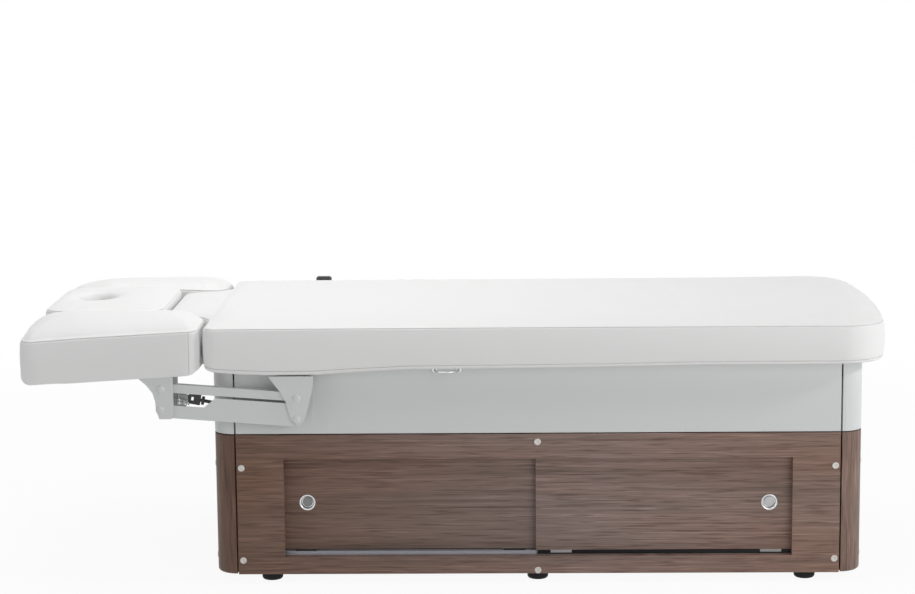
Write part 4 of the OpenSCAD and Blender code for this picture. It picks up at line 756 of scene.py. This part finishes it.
# The cushions are drawn about the cabinet's middle and moved to their place by this shift.
# The mattress has a bowed foot end, a round shoulder, a hollow neck and a round tongue.
shift_x, shift_y = 0.191, -0.01505
half_w, foot_x, foot_bow, foot_round = 0.375, 0.828, 0.016, 0.105
shoulder_x, shoulder_r, neck_y, neck_r = -0.7465, 0.03, 0.258, 0.08
tongue_x, tongue_r, tongue_held = -0.8565, 0.03, -0.765
foot_centre = (foot_x - foot_bow - foot_round, half_w - foot_round)
bow = np.linspace(0, 1, 12)
bed_side = np.concatenate([
    np.stack([foot_x - foot_bow * bow ** 2, foot_centre[1] * bow], -1),
    arc(foot_centre, foot_round, 0, 90),
    drawn_in((foot_centre[0], half_w), (shoulder_x, half_w), 0.004),
    arc((shoulder_x, half_w - shoulder_r), shoulder_r, 90, 180),
    arc((tongue_x, neck_y), neck_r, 0, -90),
    arc((tongue_x, neck_y - neck_r - tongue_r), tongue_r, 90, 180),
    [(tongue_x - tongue_r, 0.0)]])
bed_loop = looped(bed_side, bed_side * (1, -1), 200) + (shift_x, shift_y)
bed_z, bed_t, bed_crown = 0.526, 0.093, 0.0085
hung_depths = [(-0.775, 0.009), (-0.75, 0.013), (-0.7, 0.0175), (-0.63, 0.0205), (-0.51, 0.0205),
    (-0.45, 0.016), (-0.3, 0.0082), (-0.08, 0.0072), (0.145, 0.0052), (0.375, 0.0008), (0.8, 0.0)]
hung_from, hung_over = 0.338, 0.018


def hung(grid):
    """Lowers the mattress's edge outside the collar: depth(x) * smooth(|y|) * (1 - h / 0.6),
    with h the height share. The cover hangs lowest towards the head. Its crown is made
    higher towards the foot, by up to 0.7 of itself."""
    x, y = grid[..., 0] - shift_x, np.abs(grid[..., 1] - shift_y)
    depth = np.interp(x, *zip(*hung_depths))
    side = np.clip((y - hung_from) / hung_over, 0, 1)
    fade = np.clip(1 - (grid[..., 2] - bed_z) / (0.6 * bed_t), 0, 1)
    lower = grid.copy()
    lower[..., 2] -= depth * side ** 2 * (3 - 2 * side) * fade
    crown = np.clip(grid[..., 2] - bed_z - bed_t, 0, None)
    lower[..., 2] += 0.7 * crown * np.clip(x / 0.7, 0, 1)
    return lower


bed_grid = hung(cushion(bed_loop, bed_z, bed_t, bed_crown, 0.055, 0.11))
covered("mattress_cover", bed_grid, "lying_top", "mattress", 0.004,
    hold=bed_grid[..., 0] < shift_x + tongue_held)

# ---- Headrest -----------------------------------------------------------------------
# Foam headrest with an oval face hole and the same white cover, on its own plywood board.
# The board is hinged to a yoke on two ground steel rods, which slide in sockets under the
# mattress.


def rounded(x1, x2, y1, y2, r_foot, r_head, draw):
    """One side of a pad's outline, from the middle of its foot end to the middle of its head
    end, over the side at y2; y1 is the pad's middle. Its sides are drawn in."""
    s = 1 if y2 > y1 else -1
    wide = abs(y2 - y1)
    points = np.concatenate([[(x2, 0)], drawn_in((x2, 0.02), (x2, wide - r_foot), 0.0005),
        arc((x2 - r_foot, wide - r_foot), r_foot, 0, 90),
        drawn_in((x2 - r_foot, wide), (x1 + r_head, wide), draw),
        arc((x1 + r_head, wide - r_head), r_head, 90, 180), [(x1, 0)]])
    return points * (1, s) + (0, y1)


hole_x, hole_l, hole_w, hole_lip = -1.079, 0.038, 0.055, 0.034
rest_x1, rest_x2, rest_half_w, rest_draw = -1.182, -0.889, 0.1815, 0.003
rest_loop = looped(rounded(rest_x1, rest_x2, 0, rest_half_w, 0.045, 0.05, rest_draw),
    rounded(rest_x1, rest_x2, 0, -rest_half_w, 0.045, 0.05, rest_draw), 110)
rest_z, rest_t, rest_crown = 0.548, 0.084, 0.008
rest_held_x, rest_held_y = -0.905, 0.174


def hole_ring(grow):
    """Ring round the face hole in step with the outline: an oval grown by grow, with its
    points in the directions of the outline's points."""
    a = np.arctan2(rest_loop[:, 1] / hole_w, (rest_loop[:, 0] - hole_x) / hole_l)
    return np.stack([hole_x + (hole_l + grow) * np.cos(a), (hole_w + grow) * np.sin(a)], -1)


# Rings go up the side, over the crown to the hole's lip, down the hole and back outwards
# under the cushion. The lip falls by shares of its drop as the oval gets narrower.
lip_drop, lip_fall = 0.04, ((1.0, 0.0), (0.76, 0.012), (0.54, 0.05), (0.35, 0.12), (0.2, 0.25),
    (0.09, 0.46), (0.02, 0.82))
rest_top = rest_z + rest_t
rest_rings = [(moved_in(rest_loop, inset), rest_z + rest_t * h) for h, inset, mark in side_rows]
rest_lower, rest_upper = rest_rings[0][0], rest_rings[-1][0]
rest_rings += [(rest_upper + s * (hole_ring(hole_lip) - rest_upper),
    rest_top + rest_crown * (1 - (1 - s) ** 2) ** 0.7)
    for s in (0.04, 0.12, 0.24, 0.4, 0.58, 0.76, 0.9)]
rest_rings += [(hole_ring(hole_lip * grow), rest_top + rest_crown * (1 - drop) - drop * lip_drop)
    for grow, drop in lip_fall]
rest_rings += [(hole_ring(0), rest_z + rest_t * k) for k in (0.42, 0.25, 0.1, 0.0)]
rest_rings += [(hole_ring(0) + s * (rest_lower - hole_ring(0)), rest_z) for s in (0.33, 0.66, 1.0)]
rest_grid = np.stack([np.column_stack([ring, np.full(len(ring), z)]) for ring, z in rest_rings])
rest_tight = (rest_grid[..., 0] > rest_held_x) | (np.abs(rest_grid[..., 1]) > rest_held_y)
covered("headrest_cover", rest_grid + (shift_x, shift_y, 0), "headrest_pad", "headrest",
    0.0035, under=0, hold=rest_tight)
eased("headrest_board", plywood.material, "headrest_pad", 0.0008)
rod_steel = drawn_steel("ground_rod_steel", (0.6, 0.6, 0.61), 0.25, 0)
eased("headrest_rods", rod_steel, "headrest_slide", 0.0004)

# ---- Arm pads -----------------------------------------------------------------------
# Two fuller foam pads beside the headrest, with the same cover, a high crown and round
# inner corners. Each is fixed to the plate of its arm and slopes down towards the head.
arm_x1, arm_x2, arm_y1, arm_y2 = -1.204, -0.7815, -0.375, -0.1885
arm_z, arm_t, arm_crown, arm_slope = 0.513, 0.1025, 0.023, 0.062
arm_middle, arm_draw = (arm_y1 + arm_y2) / 2, 0.003
arm_held_x, arm_held_y = -0.797, -0.2
arm_loop = looped(rounded(arm_x1, arm_x2, arm_middle, arm_y2, 0.062, 0.052, arm_draw),
    rounded(arm_x1, arm_x2, arm_middle, arm_y1, 0.030, 0.034, arm_draw), 120)
# The side band is sewn together in an upright seam near the foot end, on the outer side
seam_x, seam_half, seam_depth = -0.806, 0.0014, 0.0013
on_outer = arm_loop[:, 1] <= arm_y1 + 0.01
upright_seam = int(np.argmin(np.where(on_outer, np.abs(arm_loop[:, 0] - seam_x), np.inf)))
arm_loop[upright_seam - 1:upright_seam + 2, 0] = seam_x + seam_half * np.array([-1, 0, 1])


def arm_tip(x, y, share):
    """Lift of a point of an arm pad: the slope along X from the foot end, and by the
    height share a rise towards the inner side, which is largest near the head end."""
    rise = np.interp(x, [arm_x1, -1.14, -1.08, arm_x2], [0.022, 0.032, 0.039, 0.007])
    rise = rise * (y - arm_y1) / (arm_y2 - arm_y1)
    return (x - arm_x2) * arm_slope + np.clip(share, 0, 1) * rise


def end_curve(x, share):
    """Lift that rounds the lower edges of an arm pad's ends: b - sqrt(b^2 - (b * k)^2),
    with k the share of the round's length a that is left to the end. It fades upwards."""
    lift = 0
    for left, a, b in ((x - arm_x1, 0.030, 0.026), (arm_x2 - x, 0.040, 0.015)):
        k = 1 - np.clip(left / a, 0, 1)
        lift = lift + b * (1 - np.sqrt(1 - k ** 2))
    return lift * np.clip(1 - share / 0.5, 0, 1)


# Rows of an arm pad: its cover ends in a lip that hangs down round the plate
lip_rows = [(0.0, 0.030, 2), (0.0, 0.018, 2), (0.0, 0.0072, 2), (-0.03, 0.0056, 2),
    (-0.054, 0.0049, 2), (-0.064, 0.0035, 2), (-0.056, 0.0018, 2), (-0.025, 0.0008, 0)]
pad_rows = lip_rows + [(0.02, 0.0006, 0), (0.09, 0.0008, 0)] + upper_rows
arm_grid = cushion(arm_loop, arm_z, arm_t, arm_crown, 0.05, 0.07, pad_rows, dome=0.3)
arm_x, arm_y = arm_grid[..., 0], arm_grid[..., 1]
arm_share = (arm_grid[..., 2] - arm_z) / arm_t
lip_depth = np.interp(arm_x, [-1.2, -1.12, -1.09, -0.82], [0.1, 0.15, 0.48, 0.58])
# At the foot end the lip is short, except at the outer side, because the upper link comes
# up to it there
short_x, short_y, short_over, short_by = -0.8, -0.369, 0.004, 0.9
inner_end = (arm_x > short_x) * np.clip((arm_y - short_y) / short_over, 0, 1)
lipped = arm_z + arm_share * arm_t * lip_depth * (1 - short_by * inner_end)
arm_grid[..., 2] = np.where(arm_share < 0, lipped, arm_grid[..., 2])
arm_grid[..., 2] += arm_tip(arm_x, arm_y, arm_share) + end_curve(arm_x, arm_share)
arm_tight = (arm_x > arm_held_x) | (arm_y > arm_held_y)
top_seam = [mark for h, inset, mark in pad_rows].index(1)
seam_rows = slice(under_rings + len(lip_rows), under_rings + top_seam)
arm_grid[seam_rows, upright_seam, 1] += seam_depth
arm_tight[seam_rows, upright_seam - 1:upright_seam + 2] = True
for side, s in (("near", 1), ("far", -1)):
    covered(side + "_arm_pad_cover", arm_grid * (1, s, 1) + (shift_x, shift_y, 0),
        side + "_arm", side + "_arm_pad", 0.005, pad_rows, hold=arm_tight,
        stitched=(seam_rows, upright_seam))

# ---- Arm brackets and links ---------------------------------------------------------
# Each arm pad hangs on a parallel linkage of pressed steel plates, sprayed white: a
# bracket on the collar, two links with riveted pins, and a carrier under the pad.
for side in ("near", "far"):
    eased(side + "_bracket", white_paint, "lying_top", 0.0008)
    eased(side + "_upper_link", white_paint, side + "_upper", 0.0006)
    eased(side + "_lower_link", white_paint, side + "_lower", 0.0006)
    eased(side + "_carrier", white_paint, side + "_arm", 0.0008)

# ---- Gas struts and release levers --------------------------------------------------
# A lockable gas strut holds each linkage: a black cylinder with an eye, a rod with a lock
# nut and a release head, and a small pierced lever with a hooked tail.
strut_black, eye_plating = (0.022, 0.022, 0.023), (0.36, 0.37, 0.37)
eye_end, eye_fade = -0.622, 0.0005
black_enamel = sprayed("black_enamel", strut_black, 0.3, 0.00003)
plated_steel = drawn_steel("plated_steel", (0.3, 0.3, 0.305), 0.3, 0)
rod_finish = Finish("black_rod_with_plated_eye", strut_black, 0.32)
past_eye = rod_finish.spread(rod_finish.along_x(), 0.0, 1.0, eye_end - eye_fade,
    eye_end + eye_fade)
rod_finish.tint(past_eye, eye_plating, strut_black, 0.0, 1.0)
rod_finish.relief(rod_finish.noise(rod_finish.place(), 420, 2, 0.4), 0.00003)
for side in ("near", "far"):
    eased(side + "_strut_cylinder", black_enamel, side + "_cylinder", 0.0006)
    eased(side + "_strut_rod", rod_finish.material, side + "_rod", 0.0005)
    eased(side + "_release_lever", plated_steel, side + "_lever", 0.0004)

# ---- Wire loop ----------------------------------------------------------------------
# Chrome-plated wire bent to a half oval, with a small round flange at each foot. It is
# fixed to the collar under the edge of the mattress.
eased("wire_loop", chrome.material, "lying_top", 0.0003)

# ---- Hand control -------------------------------------------------------------------
# Moulded hand control with two soft keys for up and down. It stands in a cradle on the far
# side of the bed, whose arm is fixed to the collar.
handset_plastic = Finish("dark_textured_plastic", (0.06, 0.06, 0.065), 0.48)
handset_grain = handset_plastic.noise(handset_plastic.place(), 1800, 3)
handset_plastic.link(handset_plastic.spread(handset_grain, 0.42, 0.56), "Roughness")
handset_plastic.relief(handset_grain, 0.0001)
eased("handset_cradle", handset_plastic.material, "lying_top", 0.001)
eased("hand_control", handset_plastic.material, "lying_top", 0.0014, 3)
key_plastic = Finish("grey_key_plastic", (0.3, 0.31, 0.33), 0.5)
key_plastic.relief(key_plastic.noise(key_plastic.place(), 1600, 2), 0.00005)
for key in ("up", "down"):
    eased(key + "_button", key_plastic.material, key + "_key", 0.0006, 3)
